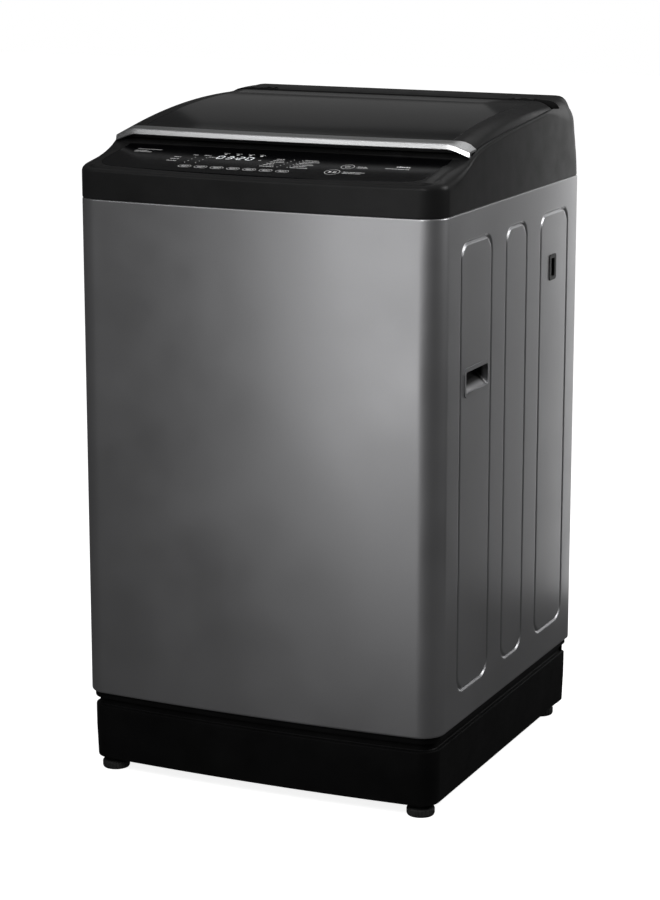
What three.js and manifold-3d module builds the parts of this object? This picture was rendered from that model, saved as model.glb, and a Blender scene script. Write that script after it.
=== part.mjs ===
// A top load washing machine: painted steel cabinet, plastic top frame with a glass lid, and the
// suspended tub with its basket, pulsator, reducer, belt and motor.
// Millimetres, +Z up, -Y is the front. The origin is on the floor under the middle of the machine.
import * as THREE from 'three';
import { mergeVertices } from 'three/addons/utils/BufferGeometryUtils.js';
import Module from 'manifold-3d';

const wasm = await Module();
wasm.setup();

// ---- Driving dimensions ----
const WIDTH = 580;
const DEPTH = 577; // side panels, without the bow of the front
const FRONT_BOW = 8.5; // how far the middle of the front stands forward of its corners
const CORNER_RADIUS = 36; // front corners, in plan
const REAR_RADIUS = 8;
const FOOT_HEIGHT = 20;
const CABINET_BOTTOM = 126;
const SEAM_Z = 882; // where the cabinet meets the top frame
const TOP_Z = 1005;
const REACH = 297; // front bow and rear fittings both end this far from the middle
const GAP = 0.3; // between pieces that touch
const SHEET = 1; // steel
const WALL = 3; // plastic
const HALF = WIDTH / 2;
const FRONT_Y = -DEPTH / 2;
const REAR_Y = DEPTH / 2;

// Sloped deck under the control panel
const DECK_Y = -285;
const DECK_Z = 931;
const DECK_SLOPE = 0.18;
const PANEL_HALF = 258.5;
const PANEL_THICK = 2;

// Lid: a plate that turns about an axis 13 mm under its top face, near its rear edge
const LID_FRONT_Y = -166;
const LID_FRONT_Z = 974.5;
const LID_SLOPE = 0.0763;
const LID_HALF = 284.2;
const LID_FLAT_HALF = 252; // the sides are bevelled outside this
const HINGE_Y = 201;
const HINGE_DROP = 13;
const LID_UNDER = 4; // the lid's lowest face is this far under the hinge axis
const BEVEL_DROP = 11;
const HINGE_Z = LID_FRONT_Z + LID_SLOPE * (HINGE_Y - LID_FRONT_Y) - HINGE_DROP;
const LID_TILT = Math.atan(LID_SLOPE);
const LID_LENGTH = (HINGE_Y - LID_FRONT_Y) / Math.cos(LID_TILT); // axis to front corners
const POCKET_HALF = 284.5;
const POCKET_CORNER = 12;
const HOOD_Y = 216.3; // front face of the raised part behind the lid
const SEAT_UNDER = 18.5; // the lid's seat lies this far under the plane of its top
const SEAT_FRONT_Y = LID_FRONT_Y - 1.5;

// Drum, all about the vertical axis through the origin
const TUB_RADIUS = 262;
const TUB_BOTTOM = 250;
const TUB_TOP = 800;
const BASKET_RADIUS = 240;
const BASKET_BOTTOM = 286;
const BASKET_TOP = 742;
const RING_INNER = 205;
const PULLEY_Z = 138;
const PULLEY_HEIGHT = 20;
const PULLEY_RADIUS = 70;
const MOTOR_PULLEY_RADIUS = 20;
const MOTOR_X = 165;
const ROD_XY = 222; // suspension rods, from both centre planes
const SPRING_BOTTOM = 300;
const LUG_Z = 350;
const BRACKET_Z = 846;
const BRACKET_THICK = 2;
const FOOT_X = 254;
const FOOT_Y = 255;

// Opening of the top frame over the basket
const WELL_HALF = 205;
const WELL_FRONT = -150;
const WELL_REAR = 184;
const WELL_RADIUS = 70;
const WELL_BOTTOM = 838;

const RIBS = [
  { y: -146.5, width: 127 },
  { y: 15.5, width: 93 },
  { y: 179.5, width: 127 },
];
const RIB_BOTTOM = 172;
const RIB_TOP = 841;
const RIB_WIDTH = 8;
const RIB_DEPTH = 2.4;
const RIB_RADIUS = 28; // outer corners of the channels

// Corners of the machine: name, side along X, side along Y
const CORNERS = [
  ['front_left', -1, -1],
  ['front_right', 1, -1],
  ['rear_left', -1, 1],
  ['rear_right', 1, 1],
];

// ---- Materials ----
const finish = (color, roughness, metalness = 0) =>
  new THREE.MeshStandardMaterial({ color, roughness, metalness });
const paint = finish(0x6d6e70, 0.42, 0.55);
const blackPlastic = finish(0x1a1a1b, 0.45);
const skirtPlastic = finish(0x0d0d0e, 0.6);
const glossBlack = finish(0x060607, 0.08);
const silver = finish(0xc4c5c7, 0.25, 0.9);
const smokedGlass = finish(0x15161a, 0.05);
const steel = finish(0xb9bcc0, 0.3, 1);
const zinc = finish(0x9a9da2, 0.45, 1);
const greyPlastic = finish(0xc9ccd0, 0.5);
const whitePlastic = finish(0xe9eaec, 0.45);
const rubber = finish(0x151515, 0.9);
const motorMetal = finish(0x7d8086, 0.5, 0.9);
const boardGreen = finish(0x1d5c39, 0.6);

// ---- Solids ----
const DRUM_SEGMENTS = 32; // facets round the tub and its like
const ROUND_SEGMENTS = 14; // facets round small pieces
const MIDDLE_SEGMENTS = 20;

// A closed three.js geometry as a manifold-3d solid with its faces outwards.
function solid(geometry) {
  const plain = geometry.index ? geometry.toNonIndexed() : geometry.clone();
  const bare = new THREE.BufferGeometry().setAttribute('position', plain.getAttribute('position'));
  const merged = mergeVertices(bare, 1e-4);
  const triangles = [];
  const source = merged.index.array;
  for (let i = 0; i < source.length; i += 3) {
    const [a, b, c] = [source[i], source[i + 1], source[i + 2]];
    if (a !== b && b !== c && a !== c) triangles.push(a, b, c);
  }
  const build = (list) =>
    new wasm.Manifold(
      new wasm.Mesh({
        numProp: 3,
        vertProperties: merged.attributes.position.array,
        triVerts: new Uint32Array(list),
      }),
    );
  const made = build(triangles);
  if (made.volume() > 0) return made;
  const flipped = [];
  for (let i = 0; i < triangles.length; i += 3) {
    flipped.push(triangles[i], triangles[i + 2], triangles[i + 1]);
  }
  return build(flipped);
}

const union = (...parts) => parts.reduce((all, next) => all.add(next));
const cut = (body, ...tools) => tools.reduce((left, tool) => left.subtract(tool), body);

function geometryOf(body) {
  const made = body.asOriginal().simplify(0.004).getMesh();
  const position = new THREE.BufferAttribute(new Float32Array(made.vertProperties), 3);
  const geometry = new THREE.BufferGeometry().setAttribute('position', position);
  geometry.setIndex(new THREE.BufferAttribute(new Uint32Array(made.triVerts), 1));
  geometry.computeVertexNormals();
  return geometry;
}

function extrude(shape, depth, curveSegments = 4) {
  return new THREE.ExtrudeGeometry(shape, { depth, bevelEnabled: false, curveSegments, steps: 1 });
}

// A plan outline raised from z0 to z1.
const prism = (shape, z0, z1, segments) => solid(extrude(shape, z1 - z0, segments).translate(0, 0, z0));

// An outline drawn in (y, z), run along X from x0 to x1.
function sidePrism(shape, x0, x1, segments) {
  const turn = new THREE.Matrix4().makeBasis(
    new THREE.Vector3(0, 1, 0),
    new THREE.Vector3(0, 0, 1),
    new THREE.Vector3(1, 0, 0),
  );
  return solid(extrude(shape, x1 - x0, segments).applyMatrix4(turn).translate(x0, 0, 0));
}

// An outline drawn in (x, z), run along Y from y0 to y1.
function frontPrism(shape, y0, y1, segments) {
  const turn = new THREE.Matrix4().makeBasis(
    new THREE.Vector3(1, 0, 0),
    new THREE.Vector3(0, 0, 1),
    new THREE.Vector3(0, -1, 0),
  );
  return solid(extrude(shape, y1 - y0, segments).applyMatrix4(turn).translate(0, y1, 0));
}

function box(x0, x1, y0, y1, z0, z1) {
  const size = new THREE.BoxGeometry(x1 - x0, y1 - y0, z1 - z0);
  return solid(size.translate((x0 + x1) / 2, (y0 + y1) / 2, (z0 + z1) / 2));
}

// A closed profile of [radius, z] pairs turned about the vertical axis.
function turned(profile, segments = DRUM_SEGMENTS) {
  const closed = profile.some(([r]) => r === 0) ? profile : [...profile, profile[0]];
  const points = closed.map(([r, z]) => new THREE.Vector2(r, z));
  return solid(new THREE.LatheGeometry(points, segments).rotateX(Math.PI / 2));
}

const post = (radius, z0, z1, segments = ROUND_SEGMENTS) =>
  turned([[0, z0], [radius, z0], [radius, z1], [0, z1]], segments);
const rodX = (radius, x0, x1, segments) => post(radius, x0, x1, segments).rotate([0, 90, 0]);
const rodY = (radius, y0, y1, segments) => post(radius, y0, y1, segments).rotate([-90, 0, 0]);

// ---- Outlines ----
const polygon = (pairs) => new THREE.Shape(pairs.map(([x, y]) => new THREE.Vector2(x, y)));

function roundedRect(x0, x1, y0, y1, radius) {
  const shape = new THREE.Shape();
  shape.absarc(x1 - radius, y0 + radius, radius, -Math.PI / 2, 0);
  shape.absarc(x1 - radius, y1 - radius, radius, 0, Math.PI / 2);
  shape.absarc(x0 + radius, y1 - radius, radius, Math.PI / 2, Math.PI);
  shape.absarc(x0 + radius, y0 + radius, radius, Math.PI, 1.5 * Math.PI);
  shape.closePath();
  return shape;
}

// The machine's plan, moved inwards by inset: round front corners, a bowed front, small rear corners.
function planOutline(inset) {
  const half = HALF - inset;
  const front = FRONT_Y + inset;
  const rear = REAR_Y - inset;
  const r = CORNER_RADIUS - inset;
  const q = Math.max(REAR_RADIUS - inset, 1);
  const shape = new THREE.Shape();
  shape.moveTo(-half + r, front);
  shape.quadraticCurveTo(0, front - 2 * FRONT_BOW, half - r, front);
  shape.absarc(half - r, front + r, r, -Math.PI / 2, 0);
  shape.absarc(half - q, rear - q, q, 0, Math.PI / 2);
  shape.absarc(-half + q, rear - q, q, Math.PI / 2, Math.PI);
  shape.absarc(-half + r, front + r, r, Math.PI, 1.5 * Math.PI);
  return shape;
}

// ---- Scene graph ----
const machine = new THREE.Group();
const lid = new THREE.Group();
lid.position.set(0, HINGE_Y, HINGE_Z);
lid.rotation.x = LID_TILT;
const deck = new THREE.Group();
deck.position.set(0, DECK_Y, DECK_Z);
deck.rotation.x = Math.atan(DECK_SLOPE);
machine.add(lid, deck);

function place(name, body, material, group = machine, x = 0, y = 0, z = 0) {
  const mesh = new THREE.Mesh(geometryOf(body), material);
  mesh.name = name;
  mesh.position.set(x, y, z);
  group.add(mesh);
}

// ---- Cabinet ----
const HANDLE_Y0 = -188;
const HANDLE_Y1 = -99;
const HANDLE_Z0 = 616;
const HANDLE_Z1 = 652;
const HOOK_Y = 173;
const HOOK_Z = 752;
const FLANGE_OUT = 1.3; // grip and socket flanges stand this far out of the side

function ribOutline(rib, grow) {
  const half = rib.width / 2 + grow;
  return roundedRect(rib.y - half, rib.y + half, RIB_BOTTOM - grow, RIB_TOP + grow, RIB_RADIUS + grow);
}

// The closed channel pressed round each rib panel, from x0 to x1, widened by grow on both sides.
function ribChannel(rib, grow, x0, x1) {
  return cut(
    sidePrism(ribOutline(rib, grow), x0, x1, 3),
    sidePrism(ribOutline(rib, -RIB_WIDTH - grow), x0 - 1, x1 + 1, 3),
  );
}

// A folded plate spot-welded across a cabinet corner, drawn for the corner at +X +Y.
function cornerBracket() {
  const x = HALF - SHEET / 2;
  const y = REAR_Y - SHEET / 2;
  const inner = ROD_XY - 44;
  const outline = [
    [x, inner], [x, y - 36], [x - 36, y], [inner, y], [inner, inner + 36], [inner + 36, inner],
  ];
  const plate = prism(polygon(outline), BRACKET_Z, BRACKET_Z + BRACKET_THICK);
  const skirt = box(x - 2, x, inner + 2, y - 36, BRACKET_Z - 24, BRACKET_Z + 1);
  return cut(union(plate, skirt), post(6, BRACKET_Z - 5, BRACKET_Z + 5).translate([ROD_XY, ROD_XY, 0]));
}

function cabinetWrap() {
  const outer = prism(planOutline(0), CABINET_BOTTOM, SEAM_Z);
  let hollow = prism(planOutline(SHEET), CABINET_BOTTOM - 5, SEAM_Z + 5);
  let skin = outer;
  for (const rib of RIBS) {
    const depth = HALF - RIB_DEPTH;
    skin = cut(skin, ribChannel(rib, 0, depth, HALF + 1), ribChannel(rib, 0, -HALF - 1, -depth));
    hollow = cut(
      hollow,
      ribChannel(rib, SHEET, depth - SHEET, HALF),
      ribChannel(rib, SHEET, -HALF, SHEET - depth),
    );
  }
  const rearWindow = box(-HALF + 16, HALF - 16, REAR_Y - 10, REAR_Y + 10, CABINET_BOTTOM - 5, SEAM_Z + 5);
  const handleHole = roundedRect(HANDLE_Y0 - GAP, HANDLE_Y1 + GAP, HANDLE_Z0 - GAP, HANDLE_Z1 + GAP, 8);
  const hookHole = hookOutline(12, 17, 3);
  const wrap = cut(
    skin,
    hollow,
    rearWindow,
    sidePrism(handleHole, -HALF - 5, -HALF + 5, 2),
    sidePrism(handleHole, HALF - 5, HALF + 5, 2),
    sidePrism(hookHole, HALF - 5, HALF + 5, 2),
  );
  const right = [cornerBracket(), cornerBracket().mirror([0, 1, 0])];
  return union(wrap, ...right, ...right.map((bracket) => bracket.mirror([1, 0, 0])));
}

// A carry grip: a scoop that the fingers enter from below the lip and hook upwards. Side is 1 or -1.
function sideHandle(side) {
  const rim = roundedRect(HANDLE_Y0 - 4, HANDLE_Y1 + 4, HANDLE_Z0 - 4, HANDLE_Z1 + 4, 10);
  const flange = sidePrism(rim, HALF + GAP, HALF + FLANGE_OUT, 2);
  const neck = sidePrism(roundedRect(HANDLE_Y0, HANDLE_Y1, HANDLE_Z0, HANDLE_Z1, 8), HALF - 8, HALF + 1, 2);
  const shell = frontPrism(
    polygon([
      [HALF - 1.5, HANDLE_Z0], [HALF - 20, HANDLE_Z0 + 14], [HALF - 27, HANDLE_Z0 + 22],
      [HALF - 27, HANDLE_Z1 + 14], [HALF - 1.5, HANDLE_Z1 + 14],
    ]),
    HANDLE_Y0 - 2, HANDLE_Y1 + 2,
  );
  const pocket = frontPrism(
    polygon([
      [HALF + 5, HANDLE_Z0 + 2], [HALF + 1, HANDLE_Z0 + 2], [HALF - 18, HANDLE_Z0 + 17],
      [HALF - 25, HANDLE_Z0 + 24], [HALF - 25, HANDLE_Z1 + 12], [HALF - 4, HANDLE_Z1 + 12],
      [HALF - 4, HANDLE_Z1 - 2], [HALF + 5, HANDLE_Z1 - 2],
    ]),
    HANDLE_Y0 + 2, HANDLE_Y1 - 2,
  );
  const cup = cut(union(flange, neck, shell), pocket);
  return side > 0 ? cup : cup.mirror([1, 0, 0]);
}

// A rounded rectangle about the hook socket's centre, in (y, z).
const hookOutline = (halfWidth, halfHeight, radius) =>
  roundedRect(HOOK_Y - halfWidth, HOOK_Y + halfWidth, HOOK_Z - halfHeight, HOOK_Z + halfHeight, radius);

// The slotted socket that the drain hose's hook is hung from.
function hookSocket() {
  const flange = sidePrism(hookOutline(15, 20, 5), HALF + GAP, HALF + FLANGE_OUT, 3);
  const body = sidePrism(hookOutline(11.5, 16.5, 3), HALF - 14, HALF + 1, 2);
  const slot = sidePrism(hookOutline(7, 14, 2), HALF - 12, HALF + 5, 2);
  return cut(union(flange, body), slot);
}

// What goes through the back: power cord, drain and supply
const GLAND = { x: -140, z: 850 };
const DRAIN = { x: -150, z: 160 };
const VALVE = { x: -178, z: 940 };
const PANEL_Y = REAR_Y + GAP;

function rearPanel() {
  const outline = roundedRect(-283, 283, CABINET_BOTTOM + 3, SEAM_Z - 3, 4);
  const sheet = frontPrism(outline, PANEL_Y, PANEL_Y + SHEET, 2);
  const boss = roundedRect(-230, 230, 260, 780, 40);
  const bossOut = frontPrism(boss, PANEL_Y, PANEL_Y + 3.4, 3);
  const bossIn = frontPrism(roundedRect(-229, 229, 261, 779, 39), PANEL_Y - 5, PANEL_Y + 2.4, 3);
  const bores = [
    rodY(9.5, 270, 300).translate([GLAND.x, 0, GLAND.z]),
    rodY(17, 270, 300).translate([DRAIN.x, 0, DRAIN.z]),
  ];
  return cut(union(sheet, bossOut), bossIn, ...bores);
}

// The skirt's band, the groove over it and the lip under the cabinet, as insets from the cabinet's plan
const LEDGE_Z = 116;
const SKIRT_Z = 104;
const BAND_INSET = 6;
const GROOVE_INSET = 12;
const LIP_INSET = 5;
const PAD_TOP = 60;
const STUD_RADIUS = 5;
const STUD_TOP = 56;

function baseSkirt() {
  const outer = union(
    prism(planOutline(BAND_INSET), FOOT_HEIGHT, SKIRT_Z),
    prism(planOutline(GROOVE_INSET), SKIRT_Z - 1, LEDGE_Z + 1),
    prism(planOutline(LIP_INSET), LEDGE_Z, CABINET_BOTTOM - GAP),
  );
  const hollow = union(
    prism(planOutline(BAND_INSET + WALL), FOOT_HEIGHT + 4, SKIRT_Z - WALL),
    prism(planOutline(GROOVE_INSET + WALL), SKIRT_Z - WALL - 1, CABINET_BOTTOM + 5),
    prism(planOutline(30), FOOT_HEIGHT - 5, FOOT_HEIGHT + 5),
  );
  let skirt = cut(outer, hollow);
  const inside = prism(planOutline(8), FOOT_HEIGHT, SKIRT_Z);
  for (const [, sx, sy] of CORNERS) {
    const centre = [sx * FOOT_X, sy * FOOT_Y, 0];
    const pad = post(34, FOOT_HEIGHT, PAD_TOP).translate(centre);
    skirt = union(skirt, pad.intersect(inside));
    skirt = cut(skirt, post(STUD_RADIUS + 0.6, 0, PAD_TOP + 10).translate(centre));
  }
  return skirt;
}

// A foot: a ribbed round pad under the skirt and the stud that screws into it.
const foot = () =>
  turned([
    [0, 0], [19, 0], [21, 3], [21, 10], [19.5, 12], [19.5, FOOT_HEIGHT - 0.5],
    [STUD_RADIUS, FOOT_HEIGHT - 0.5], [STUD_RADIUS, STUD_TOP], [0, STUD_TOP],
  ], ROUND_SEGMENTS);

place('cabinet_wrap', cabinetWrap(), paint);
place('side_handle_right', sideHandle(1), paint);
place('side_handle_left', sideHandle(-1), paint);
place('hose_hook_socket', hookSocket(), blackPlastic);
place('rear_panel', rearPanel(), zinc);
place('base_skirt', baseSkirt(), skirtPlastic);
for (const [name, sx, sy] of CORNERS) {
  place(`foot_${name}`, foot(), rubber, machine, sx * FOOT_X, sy * FOOT_Y, 0);
}

// ---- Top frame ----
const lidTop = (y) => LID_FRONT_Z + LID_SLOPE * (y - LID_FRONT_Y);
const deckTop = (y) => DECK_Z + DECK_SLOPE * (y - DECK_Y);
const DRAWER = { x0: 20, x1: 130, z0: 926, z1: 962, length: 90 };
const PANEL_DEPTH = 120;
const LOCK = { x: 234, y: -118, z: 930 };
const LOCK_BOLT_RADIUS = 2.5;
const EAR = { from: 238, width: 10, radius: 4.6 }; // the frame's ears that hold the hinge pins
const PIN = { from: 224, to: 262, radius: 2.5 };

// The panel's outline on the deck, in the deck's own plane: bowed front edge, round front corners.
function panelOutline(inset) {
  const half = PANEL_HALF - inset;
  const y0 = 3.5 + inset;
  const r = 34 - inset;
  const shape = new THREE.Shape();
  shape.moveTo(-half + r, y0);
  shape.quadraticCurveTo(0, y0 - 1.9 * FRONT_BOW, half - r, y0);
  shape.absarc(half - r, y0 + r, r, -Math.PI / 2, 0);
  shape.lineTo(half, PANEL_DEPTH - inset);
  shape.lineTo(-half, PANEL_DEPTH - inset);
  shape.absarc(-half + r, y0 + r, r, Math.PI, 1.5 * Math.PI);
  return shape;
}

const toDeck = (body) =>
  body.rotate([THREE.MathUtils.radToDeg(Math.atan(DECK_SLOPE)), 0, 0]).translate([0, DECK_Y, DECK_Z]);

// The frame as a full block, shrunk inwards by inset: plan, side line, rounded shoulders, deck and lid seat.
function frameBlock(inset) {
  const side = polygon([
    [-320, SEAM_Z - 20], [320, SEAM_Z - 20], [320, TOP_Z - inset], [HOOD_Y - 6, TOP_Z - inset],
    [HOOD_Y - 6, lidTop(HOOD_Y) - 12 - inset], [LID_FRONT_Y + 6, lidTop(LID_FRONT_Y) - 12 - inset],
    [-172, 957 - inset], [-196, 948.5 - inset], [-220, 942.5 - inset], [-245, 937.5 - inset],
    [-284, 931.2 - inset], [-290, 928.5 - inset], [-294, 923 - inset], [-320, 922 - inset],
  ]);
  const r = 32 - inset;
  const shoulder = new THREE.Shape();
  shoulder.moveTo(-HALF + inset, SEAM_Z - 20);
  shoulder.lineTo(HALF - inset, SEAM_Z - 20);
  shoulder.absarc(HALF - 32, TOP_Z - 32, r, 0, Math.PI / 2);
  shoulder.absarc(-HALF + 32, TOP_Z - 32, r, Math.PI / 2, Math.PI);
  const block = prism(planOutline(inset), inset ? SEAM_Z - 10 : SEAM_Z + GAP, TOP_Z + 1)
    .intersect(sidePrism(side, -HALF - 1, HALF + 1))
    .intersect(frontPrism(shoulder, -320, 320, 5));
  const seatRoom = sidePrism(
    polygon([
      [SEAT_FRONT_Y - inset, lidTop(SEAT_FRONT_Y) - SEAT_UNDER - inset],
      [HOOD_Y + inset, lidTop(HOOD_Y) - SEAT_UNDER - inset],
      [HOOD_Y + inset, TOP_Z + 20], [SEAT_FRONT_Y - inset, TOP_Z + 20],
    ]),
    -POCKET_HALF - inset, POCKET_HALF + inset,
  );
  const deckRoom = sidePrism(
    polygon([
      [-330, deckTop(-330) - inset], [LID_FRONT_Y + 6, deckTop(LID_FRONT_Y + 6) - inset],
      [LID_FRONT_Y + 6, TOP_Z + 20], [-330, TOP_Z + 20],
    ]),
    -262 - inset, 262 + inset,
  );
  const hingeRoom = rodX(HINGE_DROP + 1 + inset, -POCKET_HALF - inset, POCKET_HALF + inset, MIDDLE_SEGMENTS)
    .translate([0, HINGE_Y, HINGE_Z]);
  const panelRoom = toDeck(prism(panelOutline(-inset), -PANEL_THICK - GAP - inset, 30));
  const half = POCKET_HALF + inset;
  const pocket = prism(roundedRect(-half, half, -400, HOOD_Y + inset, POCKET_CORNER + inset), 900, 1100);
  return cut(block, union(seatRoom, hingeRoom).intersect(pocket), deckRoom, panelRoom);
}

function topFrame() {
  const hole = roundedRect(-WELL_HALF, WELL_HALF, WELL_FRONT, WELL_REAR, WELL_RADIUS);
  const wellHole = prism(hole, WELL_BOTTOM - 5, TOP_Z);
  const wellOutline = roundedRect(
    -WELL_HALF - WALL, WELL_HALF + WALL, WELL_FRONT - WALL, WELL_REAR + WALL, WELL_RADIUS + WALL,
  );
  const wellWall = union(
    prism(wellOutline, WELL_BOTTOM, SEAM_Z + 1),
    prism(wellOutline, SEAM_Z, TOP_Z).intersect(frameBlock(0)),
  );
  const { x0: left, x1: right, z0: floor, z1: rim } = DRAWER;
  const shelf = box(left - 6, right + 6, WELL_REAR + 1, REAR_Y - 2, floor - 3.5, floor - 0.5);
  const ears = [];
  for (const side of [-1, 1]) {
    const x0 = side > 0 ? EAR.from : -EAR.from - EAR.width;
    const x1 = x0 + EAR.width;
    const axis = [0, HINGE_Y, HINGE_Z];
    const stem = box(x0, x1, HINGE_Y - EAR.radius, HINGE_Y + EAR.radius, HINGE_Z - 16, HINGE_Z);
    const eye = rodX(EAR.radius, x0, x1).translate(axis);
    ears.push(cut(union(stem, eye), rodX(PIN.radius + 0.4, x0 - 1, x1 + 1).translate(axis)));
  }
  const shell = cut(frameBlock(0), frameBlock(WALL));
  const drawerHole = box(left - 0.6, right + 0.6, WELL_REAR - 5, WELL_REAR + 5, floor - 0.5, rim + 0.8);
  const serviceHole = frontPrism(roundedRect(-222, 222, 900, 972, 8), REAR_Y - 6, REAR_Y + 4, 2);
  const rearWallSide = box(-224, 224, REAR_Y - 3.2, REAR_Y + 1, 898, 974);
  const boltHole = post(LOCK_BOLT_RADIUS + 0.6, 950, 970).translate([LOCK.x, LOCK.y, 0]);
  const open = cut(union(shell, wellWall), wellHole, drawerHole, serviceHole, boltHole);
  return union(open, cut(shelf, rearWallSide), ...ears);
}

function hoodCover() {
  const plate = frontPrism(roundedRect(-230, 230, 892, 980, 10), PANEL_Y, PANEL_Y + 2, 3);
  return cut(plate, rodY(14, 270, 300).translate([VALVE.x, 0, VALVE.z]));
}

// Solenoid valve with the threaded nozzle that a supply hose screws on.
function inletValve() {
  const body = box(-20, 20, 236, 280, -16, 16);
  const coil = box(-12, 12, 238, 262, 16.5 - 1, 30);
  const neck = rodY(11, 278, 290);
  const nozzle = rodY(13.2, 283, REACH);
  const bore = rodY(9, 286, REACH + 1);
  return cut(union(body, coil, neck, nozzle), bore).translate([VALVE.x, 0, VALVE.z]);
}

const pressureSensor = () =>
  turned([[0, 0], [24, 0], [24, 12], [20, 16], [20, 26], [5, 26], [5, 34], [0, 34]], MIDDLE_SEGMENTS);

// The lock's box with the guide that its bolt slides up out of.
function lidLock() {
  const body = box(-12, 12, -20, 20, -18, 18);
  const guide = post(6, 17, 26);
  return cut(union(body, guide), post(LOCK_BOLT_RADIUS + GAP, -16, 40));
}

function controlBoard() {
  const board = box(-160, 160, 18, 88, -17, -15.4);
  const display = box(-60, 20, 40, 66, -15.5, -9);
  const relays = box(60, 150, 30, 60, -30, -16.5);
  return union(board, display, relays);
}

// Open-topped tray with a pull lip, under the lid at the back of the well.
function detergentDrawer() {
  const { x0, x1, z0, z1, length } = DRAWER;
  const y0 = WELL_REAR + 0.5;
  const tray = box(x0, x1, y0, y0 + length, z0, z1);
  const hollow = box(x0 + 2.5, x1 - 2.5, y0 + 3, y0 + length - 2.5, z0 + 2.5, z1 + 1);
  const divider = box(x0 + 60, x0 + 62.5, y0 + 1, y0 + length - 1, z0 + 1, z1 - 8);
  const lip = box(x0 + 25, x1 - 25, y0 - 9, y0 + 1, z1 - 5, z1 - 2);
  return union(cut(tray, hollow), divider, lip);
}

place('top_frame', topFrame(), blackPlastic);
place('control_panel', prism(panelOutline(GAP), -PANEL_THICK, 0), glossBlack, deck);
place('control_board', controlBoard(), boardGreen, deck);
place('hood_cover', hoodCover(), blackPlastic);
place('inlet_valve', inletValve(), whitePlastic);
place('pressure_sensor', pressureSensor(), whitePlastic, machine, -70, 245, 915);
place('lid_lock', lidLock(), whitePlastic, machine, LOCK.x, LOCK.y, LOCK.z);
place('lid_lock_bolt', post(LOCK_BOLT_RADIUS, -14, 29), steel, machine, LOCK.x, LOCK.y, LOCK.z);
place('detergent_drawer', detergentDrawer(), greyPlastic);

function cordGland() {
  const stem = rodY(9, 284, PANEL_Y + SHEET + GAP);
  const collar = rodY(13, PANEL_Y + SHEET + GAP, 292);
  const nose = rodY(8, 291, REACH - 0.5);
  const flange = rodY(13, 281, REAR_Y - GAP);
  return cut(union(stem, collar, nose, flange), rodY(4.2, 275, REACH + 2)).translate([GLAND.x, 0, GLAND.z]);
}

function drainOutlet() {
  const spigot = rodY(15, 274, REACH);
  const flange = rodY(21, 280, REAR_Y - GAP);
  const bead = rodY(16, 292, 294);
  return cut(union(spigot, flange, bead), rodY(12, 270, REACH + 2)).translate([DRAIN.x, 0, DRAIN.z]);
}

place('power_cord_gland', cordGland(), blackPlastic);
place('drain_outlet', drainOutlet(), blackPlastic);

// ---- Lid, in the lid group: the hinge axis is the local X axis, the top face is at z = HINGE_DROP ----
const LID_BOW = 8;
const LID_CORNER = 42; // rear corners, in plan
const LIP_HEIGHT = 9;
const LIP_DEPTH = 6;
const STRIP_DEPTH = 26;
const STRIP_THICK = 3;
const GLASS_THICK = 4;

// The lid's cross-section in (x, z), moved down by drop and in by inset.
const lidSection = (drop, inset, bottom) =>
  polygon([
    [-LID_HALF + inset, bottom], [LID_HALF - inset, bottom],
    [LID_HALF - inset, HINGE_DROP - BEVEL_DROP - drop],
    [LID_FLAT_HALF, HINGE_DROP - drop], [-LID_FLAT_HALF, HINGE_DROP - drop],
    [-LID_HALF + inset, HINGE_DROP - BEVEL_DROP - drop],
  ]);

// Everything of the lid behind its bowed front edge, which is moved back by back.
function behindFront(back) {
  const y = -LID_LENGTH + back;
  const shape = new THREE.Shape();
  shape.moveTo(-LID_HALF - 5, y);
  shape.quadraticCurveTo(0, y - 2 * LID_BOW, LID_HALF + 5, y);
  shape.lineTo(LID_HALF + 5, 60);
  shape.lineTo(-LID_HALF - 5, 60);
  return prism(shape, -30, 40, 6);
}

function lidBody() {
  const side = new THREE.Shape();
  side.moveTo(-LID_LENGTH - 20, -LID_UNDER);
  side.lineTo(Math.sqrt(HINGE_DROP ** 2 - LID_UNDER ** 2), -LID_UNDER);
  side.absarc(0, 0, HINGE_DROP, -Math.asin(LID_UNDER / HINGE_DROP), Math.PI / 2);
  side.lineTo(-LID_LENGTH - 20, HINGE_DROP);
  return frontPrism(lidSection(0, 0, -LID_UNDER), -LID_LENGTH - 20, HINGE_DROP + 1)
    .intersect(sidePrism(side, -LID_HALF - 1, LID_HALF + 1, 5))
    .intersect(behindFront(0))
    .intersect(prism(roundedRect(-LID_HALF, LID_HALF, -LID_LENGTH - 60, HINGE_DROP, LID_CORNER), -30, 40, 6));
}

// The bright strip: a flat band on top with a lip down the front, grown by grow where it meets the frame.
function handleStrip(grow) {
  const reach = -LID_LENGTH - 30;
  const under = (drop) => frontPrism(lidSection(drop, -5, -30), reach, 30);
  const band = cut(lidBody(), under(STRIP_THICK + grow), behindFront(STRIP_DEPTH + grow));
  const lip = cut(lidBody(), under(LIP_HEIGHT + grow), behindFront(LIP_DEPTH + grow));
  return union(band, lip);
}

const glassOutline = (inset) => {
  const half = 248.5 - inset;
  const y = -LID_LENGTH + STRIP_DEPTH + 0.6 + inset;
  const shape = new THREE.Shape();
  shape.moveTo(-half, y);
  shape.quadraticCurveTo(0, y - 1.75 * LID_BOW, half, y);
  shape.lineTo(half, -3 - inset);
  shape.lineTo(-half, -3 - inset);
  return shape;
};

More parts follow.
